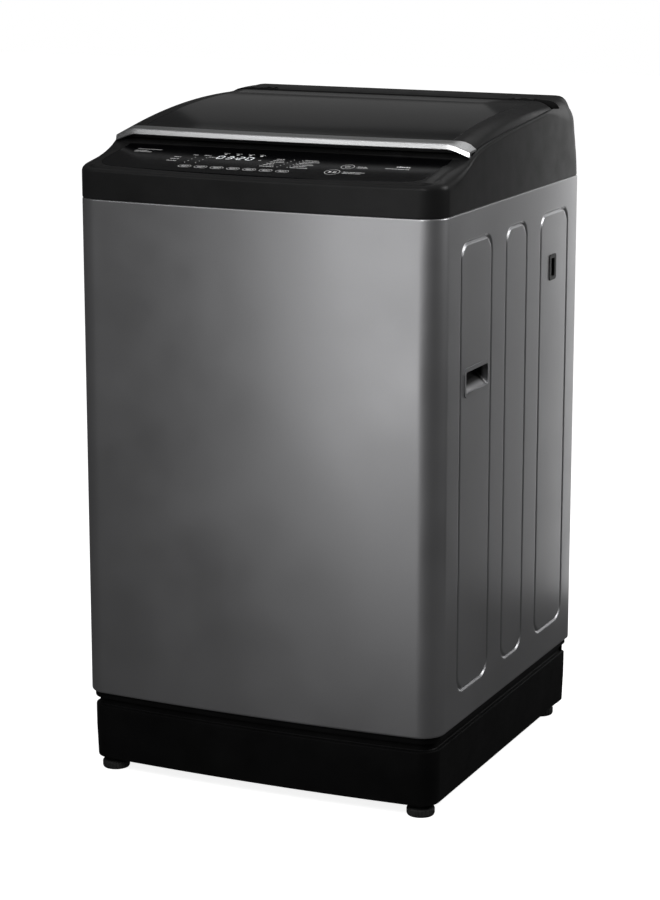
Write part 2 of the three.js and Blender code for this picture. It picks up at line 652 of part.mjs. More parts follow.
function lidFrame() {
  const glassRoom = prism(glassOutline(-GAP), HINGE_DROP - GLASS_THICK - GAP, HINGE_DROP + 5, 6);
  const window = prism(roundedRect(-205, 205, -LID_LENGTH + 62, -46, 22), -20, 20, 5);
  const underside = frontPrism(
    polygon([[-276, -10], [276, -10], [276, 0], [246, 5.6], [-246, 5.6], [-276, 0]]),
    -LID_LENGTH + 34, -8,
  );
  const fingerRoom = cut(
    box(-LID_HALF - 5, LID_HALF + 5, -LID_LENGTH - 30, 0, -30, 3.5),
    behindFront(22),
  );
  const notches = [];
  for (const side of [-1, 1]) {
    const x0 = side > 0 ? EAR.from - 0.6 : -EAR.from - EAR.width - 0.6;
    const x1 = x0 + EAR.width + 1.2;
    notches.push(box(x0, x1, -9, 20, -10, 5.2), box(x0, x1, -0.5, 20, 5, 8.5));
    const [bore0, bore1] = side > 0 ? [PIN.from, PIN.to] : [-PIN.to, -PIN.from];
    notches.push(rodX(PIN.radius + GAP, bore0 - 0.5, bore1 + 0.5));
  }
  const frame = cut(lidBody(), handleStrip(GAP), glassRoom, window, underside, fingerRoom, ...notches);
  const socketY = (LOCK.y - HINGE_Y) / Math.cos(LID_TILT);
  const boss = cut(post(8, -LID_UNDER, 7), post(LOCK_BOLT_RADIUS + 1, -LID_UNDER - 1, 5));
  return union(frame, boss.translate([LOCK.x, socketY, 0]));
}

place('lid_frame', lidFrame(), blackPlastic, lid);
place('lid_glass', prism(glassOutline(0), HINGE_DROP - GLASS_THICK, HINGE_DROP, 6), smokedGlass, lid);
place('lid_handle', handleStrip(0), silver, lid);
place('lid_hinge_pin_right', rodX(PIN.radius, PIN.from, PIN.to), steel, lid);
place('lid_hinge_pin_left', rodX(PIN.radius, -PIN.to, -PIN.from), steel, lid);

// ---- Suspended tub ----
const LUG_REACH = 332;

function outerTub() {
  const shell = turned([
    [26.3, TUB_BOTTOM], [TUB_RADIUS - 14, TUB_BOTTOM], [TUB_RADIUS, TUB_BOTTOM + 14], [TUB_RADIUS, TUB_TOP],
    [TUB_RADIUS - WALL, TUB_TOP], [TUB_RADIUS - WALL, TUB_BOTTOM + 18], [TUB_RADIUS - 18, TUB_BOTTOM + 4],
    [40, TUB_BOTTOM + 4], [36, TUB_BOTTOM + 28], [26.3, TUB_BOTTOM + 28],
  ]);
  const keepOut = post(TUB_RADIUS - 1, TUB_BOTTOM - 5, TUB_TOP + 5, DRUM_SEGMENTS);
  const lug = cut(
    box(TUB_RADIUS - 14, LUG_REACH, -20, 20, LUG_Z, LUG_Z + 14),
    post(7, LUG_Z - 5, LUG_Z + 20).translate([ROD_XY * Math.SQRT2, 0, 0]),
    keepOut,
  );
  const lugs = [45, 135, 225, 315].map((angle) => lug.rotate([0, 0, angle]));
  return union(shell, ...lugs);
}

const tubCover = () =>
  turned([
    [212, TUB_TOP + GAP], [TUB_RADIUS + 4, TUB_TOP + GAP], [TUB_RADIUS + 4, TUB_TOP + 14],
    [TUB_RADIUS - 4, TUB_TOP + 18], [216, TUB_TOP + 10], [212, TUB_TOP + 6],
  ]);

const MOTOR_TOP = 244;
const CLUTCH_BORE = 14.4;

function chassisPlate() {
  const plate = prism(roundedRect(-115, 240, -100, 100, 30), MOTOR_TOP + 0.7, TUB_BOTTOM - GAP, 4);
  return cut(plate, post(24, 200, 260), post(14, 200, 260).translate([MOTOR_X, 0, 0]));
}

const mainBearing = () => turned([[14.3, 0], [26, 0], [26, 13], [14.3, 13]], MIDDLE_SEGMENTS);
const shaftSeal = () => turned([[14.3, 0], [26, 0], [26, 9], [20, 9], [14.3, 5]], MIDDLE_SEGMENTS);

const clutchHousing = () =>
  turned([
    [CLUTCH_BORE, 164], [30, 164], [30, 184], [66, 186], [72, 194], [72, 228], [64, 234], [86, 236],
    [86, MOTOR_TOP + 0.4], [CLUTCH_BORE, MOTOR_TOP + 0.4],
  ], MIDDLE_SEGMENTS);

const motorHousing = () =>
  turned([
    [6.6, 164], [20, 164], [22, 170], [52, 172], [58, 180], [58, 230], [50, 238], [20, 240],
    [20, MOTOR_TOP + 0.4], [6.6, MOTOR_TOP + 0.4],
  ], MIDDLE_SEGMENTS);

// A V-belt pulley; rim is its outside radius.
function pulley(rim, bore) {
  const top = PULLEY_Z + PULLEY_HEIGHT;
  const middle = PULLEY_Z + PULLEY_HEIGHT / 2;
  const profile = [
    [bore, PULLEY_Z + 2], [rim - 3, PULLEY_Z], [rim, PULLEY_Z + 2], [rim - 7, middle - 4],
    [rim - 7, middle + 4], [rim, top - 2], [rim - 3, top], [bore, top],
  ];
  return turned(profile, MIDDLE_SEGMENTS);
}

// The belt as a flat loop round the two pulley grooves, which are distance apart along X.
function beltLoop(big, small, distance, thickness) {
  const lean = Math.asin((big - small) / distance);
  const outline = (grow) => {
    const shape = new THREE.Shape();
    shape.absarc(0, 0, big + grow, Math.PI / 2 - lean, 1.5 * Math.PI + lean);
    shape.absarc(distance, 0, small + grow, -Math.PI / 2 + lean, Math.PI / 2 - lean);
    return shape;
  };
  const middle = PULLEY_Z + PULLEY_HEIGHT / 2;
  return cut(
    prism(outline(thickness), middle - 3.4, middle + 3.4, MIDDLE_SEGMENTS),
    prism(outline(0), middle - 6, middle + 6, MIDDLE_SEGMENTS),
  );
}

function drainValve() {
  const body = post(24, 206, TUB_BOTTOM - GAP);
  const outlet = rodY(14, 18, 46).translate([0, 0, 222]);
  const actuator = box(-78, -20, -14, 14, 210, 238);
  return union(body, outlet, actuator);
}

// The bend between the drain valve and the rear outlet.
function drainHose() {
  const path = new THREE.CatmullRomCurve3([
    new THREE.Vector3(0, 167, 222), new THREE.Vector3(0, 190, 222), new THREE.Vector3(0, 215, 200),
    new THREE.Vector3(0, 240, 172), new THREE.Vector3(0, 266, 166),
  ]);
  const section = new THREE.Shape();
  section.absarc(0, 0, 14, 0, 2 * Math.PI);
  return solid(new THREE.ExtrudeGeometry(section, { steps: 8, extrudePath: path, curveSegments: 5 }));
}

place('outer_tub', outerTub(), whitePlastic);
place('tub_cover', tubCover(), whitePlastic);
place('chassis_plate', chassisPlate(), zinc);
place('clutch_housing', clutchHousing(), motorMetal);
place('main_bearing', mainBearing(), steel, machine, 0, 0, TUB_BOTTOM + 1);
place('shaft_seal', shaftSeal(), rubber, machine, 0, 0, TUB_BOTTOM + 15);
place('drive_motor', motorHousing(), motorMetal, machine, MOTOR_X, 0, 0);
place('motor_capacitor', post(18, 176, MOTOR_TOP), whitePlastic, machine, 88, -76, 0);
place('drain_valve', drainValve(), blackPlastic, machine, DRAIN.x, 120, 0);
place('inner_drain_hose', drainHose(), rubber, machine, DRAIN.x, 0, 0);
const GROOVE = 6.6; // the belt's inside runs this far under the pulleys' rims
const BELT_THICK = 5.6;
const belt = beltLoop(PULLEY_RADIUS - GROOVE, MOTOR_PULLEY_RADIUS - GROOVE, MOTOR_X, BELT_THICK);
place('drive_belt', belt, rubber);

// ---- Turning pieces ----
const BASKET_SHEET = 1.2;

const basketWall = () =>
  turned([
    [BASKET_RADIUS - BASKET_SHEET, BASKET_BOTTOM + 8], [BASKET_RADIUS, BASKET_BOTTOM + 8],
    [BASKET_RADIUS, BASKET_TOP - GAP], [BASKET_RADIUS - BASKET_SHEET, BASKET_TOP - GAP],
  ]);

const basketBase = () =>
  turned([
    [14.3, BASKET_BOTTOM - 4], [40, BASKET_BOTTOM - 4], [60, BASKET_BOTTOM], [BASKET_RADIUS, BASKET_BOTTOM],
    [BASKET_RADIUS, BASKET_BOTTOM + 7.7], [BASKET_RADIUS - 6, BASKET_BOTTOM + 7.7],
    [BASKET_RADIUS - 10, BASKET_BOTTOM + 5], [30, BASKET_BOTTOM + 5], [30, BASKET_BOTTOM + 9],
    [14.3, BASKET_BOTTOM + 9],
  ]);

const balanceRing = () =>
  turned([
    [RING_INNER + 5, BASKET_TOP], [BASKET_RADIUS + 2, BASKET_TOP], [BASKET_RADIUS + 4, BASKET_TOP + 5],
    [BASKET_RADIUS + 4, BASKET_TOP + 42], [BASKET_RADIUS - 3, BASKET_TOP + 50],
    [RING_INNER + 8, BASKET_TOP + 52], [RING_INNER, BASKET_TOP + 44], [RING_INNER, BASKET_TOP + 5],
  ]);

// A round-backed cassette that clips on the basket's wall.
function lintFilter(side) {
  const face = roundedRect(-40, 40, 480, 640, 14);
  const cassette = sidePrism(face, 212, 236, 3).intersect(post(BASKET_RADIUS - 1.6, 470, 650, DRUM_SEGMENTS));
  return side > 0 ? cassette : cassette.mirror([1, 0, 0]);
}

function pulsator() {
  const dish = turned([
    [7.4, 298], [158, 298], [164, 303], [160, 308], [120, 307], [60, 312], [44, 326], [26, 340], [7.4, 342],
  ], 40);
  const side = polygon([[34, 304], [150, 304], [146, 312], [96, 322], [46, 330], [34, 330]]);
  const vane = sidePrism(side, -9, 9);
  const vanes = [0, 1, 2, 3, 4].map((i) => vane.rotate([0, 0, 72 * i]));
  return union(dish, ...vanes);
}

const pulsatorScrew = () =>
  turned([[0, 342.3], [14, 342.3], [14, 346], [9, 350], [0, 350]], MIDDLE_SEGMENTS);

place('wash_basket', basketWall(), steel);
place('basket_base', basketBase(), greyPlastic);
place('balance_ring', balanceRing(), greyPlastic);
place('spin_shaft', turned([[7.6, 204], [14, 204], [14, 296], [7.6, 296]], MIDDLE_SEGMENTS), steel);
place('lint_filter_right', lintFilter(1), whitePlastic);
place('lint_filter_left', lintFilter(-1), whitePlastic);
place('pulsator', pulsator(), greyPlastic);
place('pulsator_screw', pulsatorScrew(), steel);
place('pulsator_shaft', post(7, 206, 340), steel);
place('drive_pulley', pulley(PULLEY_RADIUS, 7.3), motorMetal);
place('reducer_input_shaft', post(7, 130, 203), steel);
place('motor_pulley', pulley(MOTOR_PULLEY_RADIUS, 6.3), motorMetal, machine, MOTOR_X, 0, 0);
place('motor_shaft', post(6, 132, 242), steel, machine, MOTOR_X, 0, 0);

// ---- Suspension: a rod hangs from each corner bracket, and a spring on its foot carries the tub's lug ----
function rod() {
  const head = BRACKET_Z + BRACKET_THICK + GAP;
  return turned([
    [0, SPRING_BOTTOM - 8], [13, SPRING_BOTTOM - 8], [15, SPRING_BOTTOM - 4], [15, SPRING_BOTTOM - GAP],
    [4, SPRING_BOTTOM - GAP], [4, head], [10, head], [11, head + 5], [6, head + 11], [0, head + 12],
  ], 10);
}

class Helix extends THREE.Curve {
  constructor(radius, height, turns) {
    super();
    Object.assign(this, { radius, height, turns });
  }

  getPoint(t, target = new THREE.Vector3()) {
    const angle = 2 * Math.PI * this.turns * t;
    return target.set(this.radius * Math.cos(angle), this.radius * Math.sin(angle), this.height * t);
  }
}

function spring() {
  const wire = new THREE.Shape();
  wire.absarc(0, 0, 2, 0, 2 * Math.PI);
  const height = LUG_Z - SPRING_BOTTOM - 5;
  const coil = new THREE.ExtrudeGeometry(wire, {
    steps: 30, extrudePath: new Helix(10, height, 4.5), curveSegments: 2,
  });
  return solid(coil.translate(0, 0, SPRING_BOTTOM + 2.5));
}

for (const [name, sx, sy] of CORNERS) {
  place(`suspension_rod_${name}`, rod(), steel, machine, sx * ROD_XY, sy * ROD_XY, 0);
  place(`suspension_spring_${name}`, spring(), steel, machine, sx * ROD_XY, sy * ROD_XY, 0);
}

export default machine;
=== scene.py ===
"""Top load washing machine: the visual model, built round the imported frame.

Shapes are written in millimetres in the machine's own frame (+X right, +Y back, +Z up, floor at 0)
and scaled to metres when a mesh is made.
"""
import math

import bmesh
import bpy
from mathutils import Matrix, Vector


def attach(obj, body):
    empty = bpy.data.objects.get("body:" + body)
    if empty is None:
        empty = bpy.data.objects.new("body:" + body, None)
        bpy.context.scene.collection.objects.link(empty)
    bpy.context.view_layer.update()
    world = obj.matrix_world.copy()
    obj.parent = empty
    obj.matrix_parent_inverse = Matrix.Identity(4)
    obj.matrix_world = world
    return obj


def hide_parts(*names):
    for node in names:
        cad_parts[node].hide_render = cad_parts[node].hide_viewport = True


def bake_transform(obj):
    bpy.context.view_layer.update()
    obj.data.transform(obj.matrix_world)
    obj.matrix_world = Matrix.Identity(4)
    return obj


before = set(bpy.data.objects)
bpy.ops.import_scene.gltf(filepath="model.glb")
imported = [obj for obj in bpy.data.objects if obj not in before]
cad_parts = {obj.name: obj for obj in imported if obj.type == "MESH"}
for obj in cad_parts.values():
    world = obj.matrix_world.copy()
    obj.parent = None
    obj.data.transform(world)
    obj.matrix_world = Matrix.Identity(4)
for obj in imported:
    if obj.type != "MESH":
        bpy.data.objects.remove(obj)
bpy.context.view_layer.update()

MM = 0.001

# ---- Driving dimensions ----
HALF = 290.0
FRONT_Y = -288.5
REAR_Y = 288.5
BOW = 8.5
CORNER = 36.0
REAR_CORNER = 8.0
CABINET_BOTTOM = 126.0
SEAM_Z = 882.0
TOP_Z = 1005.0
GAP = 0.3

DECK_Y = -285.0
DECK_Z = 931.0
DECK_SLOPE = 0.18
PANEL_HALF = 258.5
PANEL_DEPTH = 120.0
PANEL_CORNER = 34.0
PANEL_THICK = 2.0

LID_FRONT_Y = -166.0
LID_FRONT_Z = 974.5
LID_SLOPE = 0.0763
LID_HALF = 284.2
LID_FLAT_HALF = 252.0
LID_CORNER = 42.0
LID_BOW = 8.0
LID_UNDER = 4.0
BEVEL_DROP = 11.0
HINGE_Y = 201.0
HINGE_DROP = 13.0
HINGE_Z = LID_FRONT_Z + LID_SLOPE * (HINGE_Y - LID_FRONT_Y) - HINGE_DROP
LID_TILT = math.atan(LID_SLOPE)
LID_LENGTH = (HINGE_Y - LID_FRONT_Y) / math.cos(LID_TILT)
HOOD_Y = 216.3
SEAT_UNDER = 18.5
SEAT_FRONT_Y = LID_FRONT_Y - 1.5
POCKET_HALF = 284.5
POCKET_CORNER = 12.0
SHOULDER = 38.0

WELL = (-205.0, 205.0, -150.0, 184.0)
WELL_RADIUS = 70.0
WELL_BOTTOM = 838.0
WELL_WALL = 3.0
EAR_WIDTH = 10.0
EAR_RADIUS = 4.5
EARS = (238.0, -238.0 - EAR_WIDTH)
LOCK_X = 234
DRAWER = (20, 130, 184.5, 274.5, 926, 962)

RIBS = ((-210.0, -83.0), (-31.0, 62.0), (116.0, 243.0))
RIB_BOTTOM = 172.0
RIB_TOP = 841.0
RIB_WIDTH = 7.5
RIB_DEPTH = 2.9
RIB_RADIUS = 28.0

HANDLE = (-188.0, -99.0, 616.0, 652.0)
HOOK = (158.0, 188.0, 732.0, 772.0)
FOOT_X = 254.0
FOOT_Y = 255.0
ROD_XY = 222.0
CORNERS = ((-1, -1, "front_left"), (1, -1, "front_right"), (-1, 1, "rear_left"), (1, 1, "rear_right"))
TUB_RADIUS = 262.0
BASKET_RADIUS = 240.0


def lid_top(y):
    return LID_FRONT_Z + LID_SLOPE * (y - LID_FRONT_Y)


def deck_top(y):
    return DECK_Z + DECK_SLOPE * (y - DECK_Y)


def seat(y):
    return lid_top(y) - SEAT_UNDER


def at(x, y, z=0.0):
    return Matrix.Translation((x, y, z))


HERE = at(0, 0)


def spun(degrees, axis="Z"):
    return Matrix.Rotation(math.radians(degrees), 4, axis)


def facing_back(x, y, z):
    """Places a turned piece so that its axis points to the rear."""
    return at(x, y, z) @ spun(-90, "X")


LID_PLACE = at(0, HINGE_Y, HINGE_Z) @ Matrix.Rotation(LID_TILT, 4, "X")
DECK_PLACE = at(0, DECK_Y, DECK_Z) @ Matrix.Rotation(math.atan(DECK_SLOPE), 4, "X")


# ---- Camera, lights and floor ----
LENS = 106.75
CAMERA_PLACE = (1.6635, -3.6797, 1.3905)
CAMERA_AIM = (-0.40323, 0.88775, -0.22205)

# Name, place, aim, width and height in metres, power in watts.
SOFTBOXES = (
    ("front_high", (0.35, -1.8, 1.5), (0.1, -0.29, 0.8), (0.6, 0.7), 9.9),
    ("front_near", (-0.05, -1.1, 0.75), (0.15, -0.29, 0.7), (0.35, 0.8), 0.9),
    ("front_right", (0.05, -1.25, 0.36), (0.2, -0.29, 0.28), (0.4, 0.7), 0.52),
    ("front_left", (-0.9, -1.9, 1.9), (0.0, -0.2, 0.95), (1.0, 0.6), 3.4),
    ("side_far", (2.4, 1.2, 1.9), (0.29, 0.1, 0.7), (1.2, 1.2), 30.0),
    ("side_near", (0.36, 0.57, 0.62), (0.29, 0.25, 0.55), (0.12, 1.1), 0.5),
    ("back_top", (0.3, 1.6, 2.6), (0.0, 0.0, 1.0), (1.6, 0.8), 3.0),
    ("window", (-1.35, 2.9, 1.8), (0.0, 0.0, 1.0), (0.9, 1.0), 0.22),
)

WORLD_STRENGTH = 0.5
WALL_GREY = 0.09
WALL_TOP = 0.80
CEILING_START = 0.95
FLOOR_REACH = 12.0
FLOOR_GLOW = 0.86


def add_to_scene(name, data):
    thing = bpy.data.objects.new(name, data)
    bpy.context.scene.collection.objects.link(thing)
    return thing


def aimed(direction):
    """The rotation that points a camera or a light along a direction."""
    return Vector(direction).to_track_quat("-Z", "Y").to_euler()


def add_camera():
    data = bpy.data.cameras.new("camera")
    data.lens = LENS
    data.sensor_width = 36.0
    camera = add_to_scene("camera", data)
    camera.location = CAMERA_PLACE
    camera.rotation_euler = aimed(CAMERA_AIM)
    bpy.context.scene.camera = camera


def add_softbox(name, place, target, size, power):
    data = bpy.data.lights.new(name, "AREA")
    data.shape = "RECTANGLE"
    data.size, data.size_y = size
    data.energy = power
    light = add_to_scene(name, data)
    light.location = place
    light.rotation_euler = aimed(Vector(target) - Vector(place))
    light.visible_camera = False


def add_node(tree, kind, inputs, **settings):
    """Adds a shader node. inputs gives each socket its value, or the output that feeds it."""
    node = tree.nodes.new("ShaderNode" + kind)
    for name, value in settings.items():
        setattr(node, name, value)
    for name, value in inputs.items():
        if isinstance(value, bpy.types.NodeSocket):
            tree.links.new(value, node.inputs[name])
        else:
            node.inputs[name].default_value = value
    return node


def add_world():
    """Grey walls under a bright ceiling for the reflections; the camera itself sees plain white."""
    world = bpy.data.worlds.new("studio")
    bpy.context.scene.world = world
    world.use_nodes = True
    tree = world.node_tree
    upwards = add_node(tree, "SeparateXYZ", {0: add_node(tree, "TexCoord", {}).outputs["Generated"]})
    height = add_node(tree, "MapRange", {"Value": upwards.outputs["Z"], "From Min": -1.0})
    ramp = add_node(tree, "ValToRGB", {0: height.outputs[0]})
    wall, ceiling = ramp.color_ramp.elements
    wall.color = (WALL_GREY, WALL_GREY, WALL_GREY, 1)
    wall.position = WALL_TOP
    ceiling.color = (1, 1, 1, 1)
    ceiling.position = CEILING_START
    room = tree.nodes["Background"]
    room.inputs["Strength"].default_value = WORLD_STRENGTH
    tree.links.new(ramp.outputs[0], room.inputs["Color"])
    white = add_node(tree, "Background", {"Color": (1, 1, 1, 1), "Strength": 1.0})
    seen = add_node(tree, "LightPath", {}).outputs["Is Camera Ray"]
    either = add_node(tree, "MixShader", {0: seen, 1: room.outputs[0], 2: white.outputs[0]})
    tree.links.new(either.outputs[0], tree.nodes["World Output"].inputs["Surface"])


def add_floor():
    """A white floor that only takes the shadow."""
    mesh = bpy.data.meshes.new("floor")
    r = FLOOR_REACH
    mesh.from_pydata([(-r, -r, 0), (r, -r, 0), (r, r, 0), (-r, r, 0)], [], [(0, 1, 2, 3)])
    floor = add_to_scene("floor", mesh)
    floor.visible_glossy = False
    floor.visible_diffuse = False
    made = Finish("floor", (0.9, 0.9, 0.9), 0.9)
    glow = made.node("Emission", {"Strength": FLOOR_GLOW})
    both = made.node("AddShader", {0: glow.outputs[0], 1: made.shader.outputs[0]})
    made.tree.links.new(both.outputs[0], made.tree.nodes["Material Output"].inputs["Surface"])
    mesh.materials.append(made.material)


def add_studio():
    bpy.context.scene.view_settings.view_transform = "Standard"
    add_world()
    for softbox in SOFTBOXES:
        add_softbox(*softbox)
    add_floor()


# ---- Materials ----
def scaled(color, factor, more=0.0):
    return tuple(c * factor + more for c in color)


class Finish:
    """A Principled material with helpers that add its variation, roughness and relief."""

    def __init__(self, name, color, roughness, metallic=0.0, more=None):
        self.material = bpy.data.materials.new(name)
        self.material.use_nodes = True
        self.tree = self.material.node_tree
        self.shader = self.tree.nodes["Principled BSDF"]
        self.color = (*color, 1.0)
        self.set_input("Base Color", self.color)
        self.set_input("Roughness", roughness)
        self.set_input("Metallic", metallic)
        for socket, value in (more or {}).items():
            self.set_input(socket, value)
        self.place = self.node("TexCoord", {}).outputs["Object"]
        self.normal = None

    def node(self, kind, inputs, **settings):
        return add_node(self.tree, kind, inputs, **settings)

    def set_input(self, socket, value):
        self.shader.inputs[socket].default_value = value

    def feed(self, socket, output):
        self.tree.links.new(output, self.shader.inputs[socket])

    def stretched(self, *scale):
        return self.node("Mapping", {"Scale": scale, "Vector": self.place}).outputs[0]

    def noise(self, scale, detail=3.0, place=None):
        inputs = {"Scale": scale, "Detail": detail, "Vector": place or self.place}
        return self.node("TexNoise", inputs).outputs["Fac"]

    def cells(self, scale):
        return self.node("TexVoronoi", {"Scale": scale, "Vector": self.place}).outputs["Distance"]

    def calc(self, operation, *values):
        return self.node("Math", dict(enumerate(values)), operation=operation).outputs[0]

    def span(self, fac, low, high, start=0.3, end=0.7):
        """Maps fac from start ... end to low ... high."""
        inputs = {"Value": fac, "From Min": start, "From Max": end, "To Min": low, "To Max": high}
        return self.node("MapRange", inputs).outputs[0]

    def mix(self, fac, first, second):
        return self.node("Mix", {"Factor": fac, "A": first, "B": second}, data_type="RGBA").outputs["Result"]

    def tint(self, fac, other, low=0.3, high=0.7):
        """Mixes the base colour towards another one where fac is high."""
        self.feed("Base Color", self.mix(self.span(fac, 0.0, 1.0, low, high), self.color, (*other, 1.0)))

    def rough(self, fac, low, high):
        self.feed("Roughness", self.span(fac, low, high))

    def bump(self, fac, depth, strength=1.0):
        """Adds relief: depth is in millimetres."""
        inputs = {"Strength": strength, "Distance": depth * MM, "Height": fac}
        if self.normal:
            inputs["Normal"] = self.normal
        self.normal = self.node("Bump", inputs).outputs[0]
        self.feed("Normal", self.normal)


def metallic_paint(name):
    """Dark silver metallic paint with fine flake and a faint orange peel under the clear coat."""
    made = Finish(name, (0.42, 0.42, 0.43), 0.42, 0.9, more={"Coat Weight": 0.25, "Coat Roughness": 0.22})
    made.tint(made.noise(3200, 2), (0.50, 0.50, 0.512), 0.35, 0.75)
    made.rough(made.noise(9, 3), 0.37, 0.45)
    made.bump(made.noise(140, 2), 0.012, 0.5)
    made.bump(made.noise(2600, 1), 0.004, 0.35)
    return made


def grip_with_shade_in_pocket():
    """The cabinet's paint on the grip's rim and scoop, turning to painted shade deep in its pocket: black
    and not metallic.
    """
    made = metallic_paint("grip_shade_and_paint")
    across = made.node("SeparateXYZ", {0: made.place}).outputs["X"]
    reach = made.calc("ABSOLUTE", across)
    # Painted shade: from 5.5 to 10 mm in from the side, the paint fades to black and loses its metal where
    # the pocket lies in shade.
    paint_not_shade = made.span(reach, 0.0, 1.0, (HALF - 10) * MM, (HALF - 5.5) * MM)
    paint = made.shader.inputs["Base Color"].links[0].from_socket
    made.feed("Base Color", made.mix(paint_not_shade, (0.004, 0.004, 0.004, 1.0), paint))
    made.feed("Metallic", paint_not_shade)
    return made.material


def moulded(name, color, roughness, grain=900, depth=0.02, shade=0.25, specular=0.5):
    """Moulded plastic with a spark-eroded grain and slight mottling."""
    made = Finish(name, color, roughness, more={"Specular IOR Level": specular})
    made.tint(made.noise(14, 4), tuple(c + shade * c + 0.002 for c in color))
    made.rough(made.noise(30, 4), roughness - 0.05, roughness + 0.06)
    made.bump(made.noise(grain, 2), depth, 0.6)
    return made.material


def brushed(name, color, roughness, along=(900, 900, 12)):
    """Metal with a grain drawn out along one axis."""
    made = Finish(name, color, roughness, 1.0)
    grain = made.noise(1.0, 4, made.stretched(*along))
    made.tint(grain, scaled(color, 1.18))
    made.rough(grain, roughness - 0.07, roughness + 0.09)
    made.bump(grain, 0.01, 0.4)
    return made.material


def galvanised():
    made = Finish("zinc_sheet", (0.46, 0.47, 0.485), 0.42, 0.9)
    spangle = made.cells(60)
    made.tint(spangle, (0.58, 0.59, 0.60), 0.1, 0.7)
    made.rough(spangle, 0.34, 0.52)
    made.bump(made.noise(500, 2), 0.01, 0.4)
    return made.material


def cast_metal():
    made = Finish("drive_metal", (0.36, 0.37, 0.39), 0.52, 0.85)
    made.tint(made.noise(25, 5), (0.43, 0.44, 0.45))
    made.rough(made.noise(40, 4), 0.42, 0.62)
    made.bump(made.noise(420, 3), 0.06, 0.7)
    return made.material


HOLES_ROUND = 180
HOLE_PITCH = 16.5


def perforated_steel():
    """Brushed stainless sheet with rows of small round holes, each drawn as a dip with near-black painted
    shade for the dark gap seen through it.
    """
    made = Finish("basket_steel", (0.62, 0.625, 0.635), 0.24, 1.0)
    x, y, z = made.node("SeparateXYZ", {0: made.place}).outputs
    heading = made.calc("ARCTAN2", y, x)

    def from_nearest(value, pitches):
        """The square of the distance to the nearest of a row of points, in pitches."""
        return made.calc("POWER", made.calc("PINGPONG", made.calc("MULTIPLY", value, pitches), 0.5), 2.0)

    beside = from_nearest(heading, HOLES_ROUND / math.tau)
    above = from_nearest(z, 1 / (HOLE_PITCH * MM))
    off_centre = made.calc("ADD", beside, above)
    hole_dip_and_shade = made.span(off_centre, 1.0, 0.0, 0.045, 0.07)
    grain = made.noise(1.0, 4, made.stretched(700, 700, 20))
    # Painted shade: each hole is coloured near black for the shaded gap behind the sheet.
    made.tint(hole_dip_and_shade, (0.01, 0.01, 0.01), 0.2, 0.8)
    made.rough(grain, 0.18, 0.33)
    made.bump(hole_dip_and_shade, -0.6, 0.8)
    made.bump(grain, 0.008, 0.4)
    return made.material


def smoked_glass():
    """Dark tinted glass with a trace of handling marks in its gloss."""
    made = Finish("smoked_glass", (0.035, 0.036, 0.038), 0.1, more={"Transmission Weight": 0.82, "IOR": 1.5})
    made.rough(made.noise(6, 4), 0.07, 0.13)
    made.bump(made.noise(2.2, 2), 0.12, 0.15)
    return made.material


def gloss(name, color, roughness, coat, specular=0.5):
    """A smooth dark film, with or without a clear coat."""
    more = {"Coat Weight": coat, "Coat Roughness": 0.05, "Specular IOR Level": specular}
    made = Finish(name, color, roughness, more=more)
    made.tint(made.noise(5, 3), scaled(color, 1.4, 0.001))
    made.rough(made.noise(8, 4), roughness - 0.03, roughness + 0.05)
    made.bump(made.noise(900, 1), 0.003, 0.2)
    return made.material


def chrome_trim():
    """Metallised plastic: bright, slightly soft, with faint drawn lines along its length."""
    made = Finish("silver_trim", (0.58, 0.585, 0.59), 0.30, 0.95)
    lines = made.noise(1.0, 3, made.stretched(6, 900, 900))
    made.tint(lines, (0.68, 0.685, 0.69))
    made.rough(lines, 0.26, 0.36)
    made.bump(lines, 0.004, 0.25)
    return made.material


def ink(name, color, glow):
    """Printed marks, lit a little from behind."""
    made = Finish(name, color, 0.5, more={"Emission Color": (*color, 1.0), "Emission Strength": glow})
    made.tint(made.noise(200, 2), scaled(color, 0.88))
    made.bump(made.noise(1500, 2), 0.004, 0.4)
    return made.material


def rubber_finish():
    made = Finish("black_rubber", (0.014, 0.014, 0.014), 0.75)
    made.tint(made.noise(40, 5), (0.03, 0.03, 0.029))
    made.rough(made.noise(60, 4), 0.62, 0.85)
    made.bump(made.noise(700, 3), 0.05, 0.6)
    return made.material


def board_finish():
    made = Finish("board_green", (0.02, 0.16, 0.06), 0.4)
    made.tint(made.cells(180), (0.35, 0.25, 0.05), 0.5, 0.55)
    made.bump(made.cells(180), 0.1, 0.4)
    return made.material


PAINT = metallic_paint("cabinet_paint").material
# Cabinet paint that turns to painted shade deep in the grip's pocket.
GRIP = grip_with_shade_in_pocket()
FRAME = moulded("frame_plastic", (0.014, 0.014, 0.0142), 0.36, 1100, 0.008, 0.2, 0.15)
SKIRT = moulded("skirt_plastic", (0.0028, 0.0028, 0.0029), 0.5, 700, 0.02, 0.3, 0.12)
LIGHT_PLASTIC = moulded("light_plastic", (0.50, 0.52, 0.54), 0.4, 500, 0.02, 0.06)
WHITE_PLASTIC = moulded("white_plastic", (0.74, 0.74, 0.73), 0.42, 500, 0.02, 0.05)
FILM = gloss("panel_film", (0.0025, 0.0025, 0.003), 0.16, 0.0, 0.22)
SILVER = chrome_trim()
GLASS = smoked_glass()
FRIT = gloss("glass_border", (0.004, 0.004, 0.004), 0.3, 0.5)
INK = ink("panel_ink", (0.80, 0.80, 0.80), 0.36)
DISPLAY_INK = ink("display_ink", (0.9, 0.93, 0.95), 0.7)
ZINC = galvanised()
STEEL = brushed("steel_rod", (0.50, 0.51, 0.52), 0.32)
STAINLESS = brushed("stainless", (0.62, 0.625, 0.635), 0.26, (500, 500, 500))
BASKET = perforated_steel()
CAST = cast_metal()
RUBBER = rubber_finish()
BOARD = board_finish()


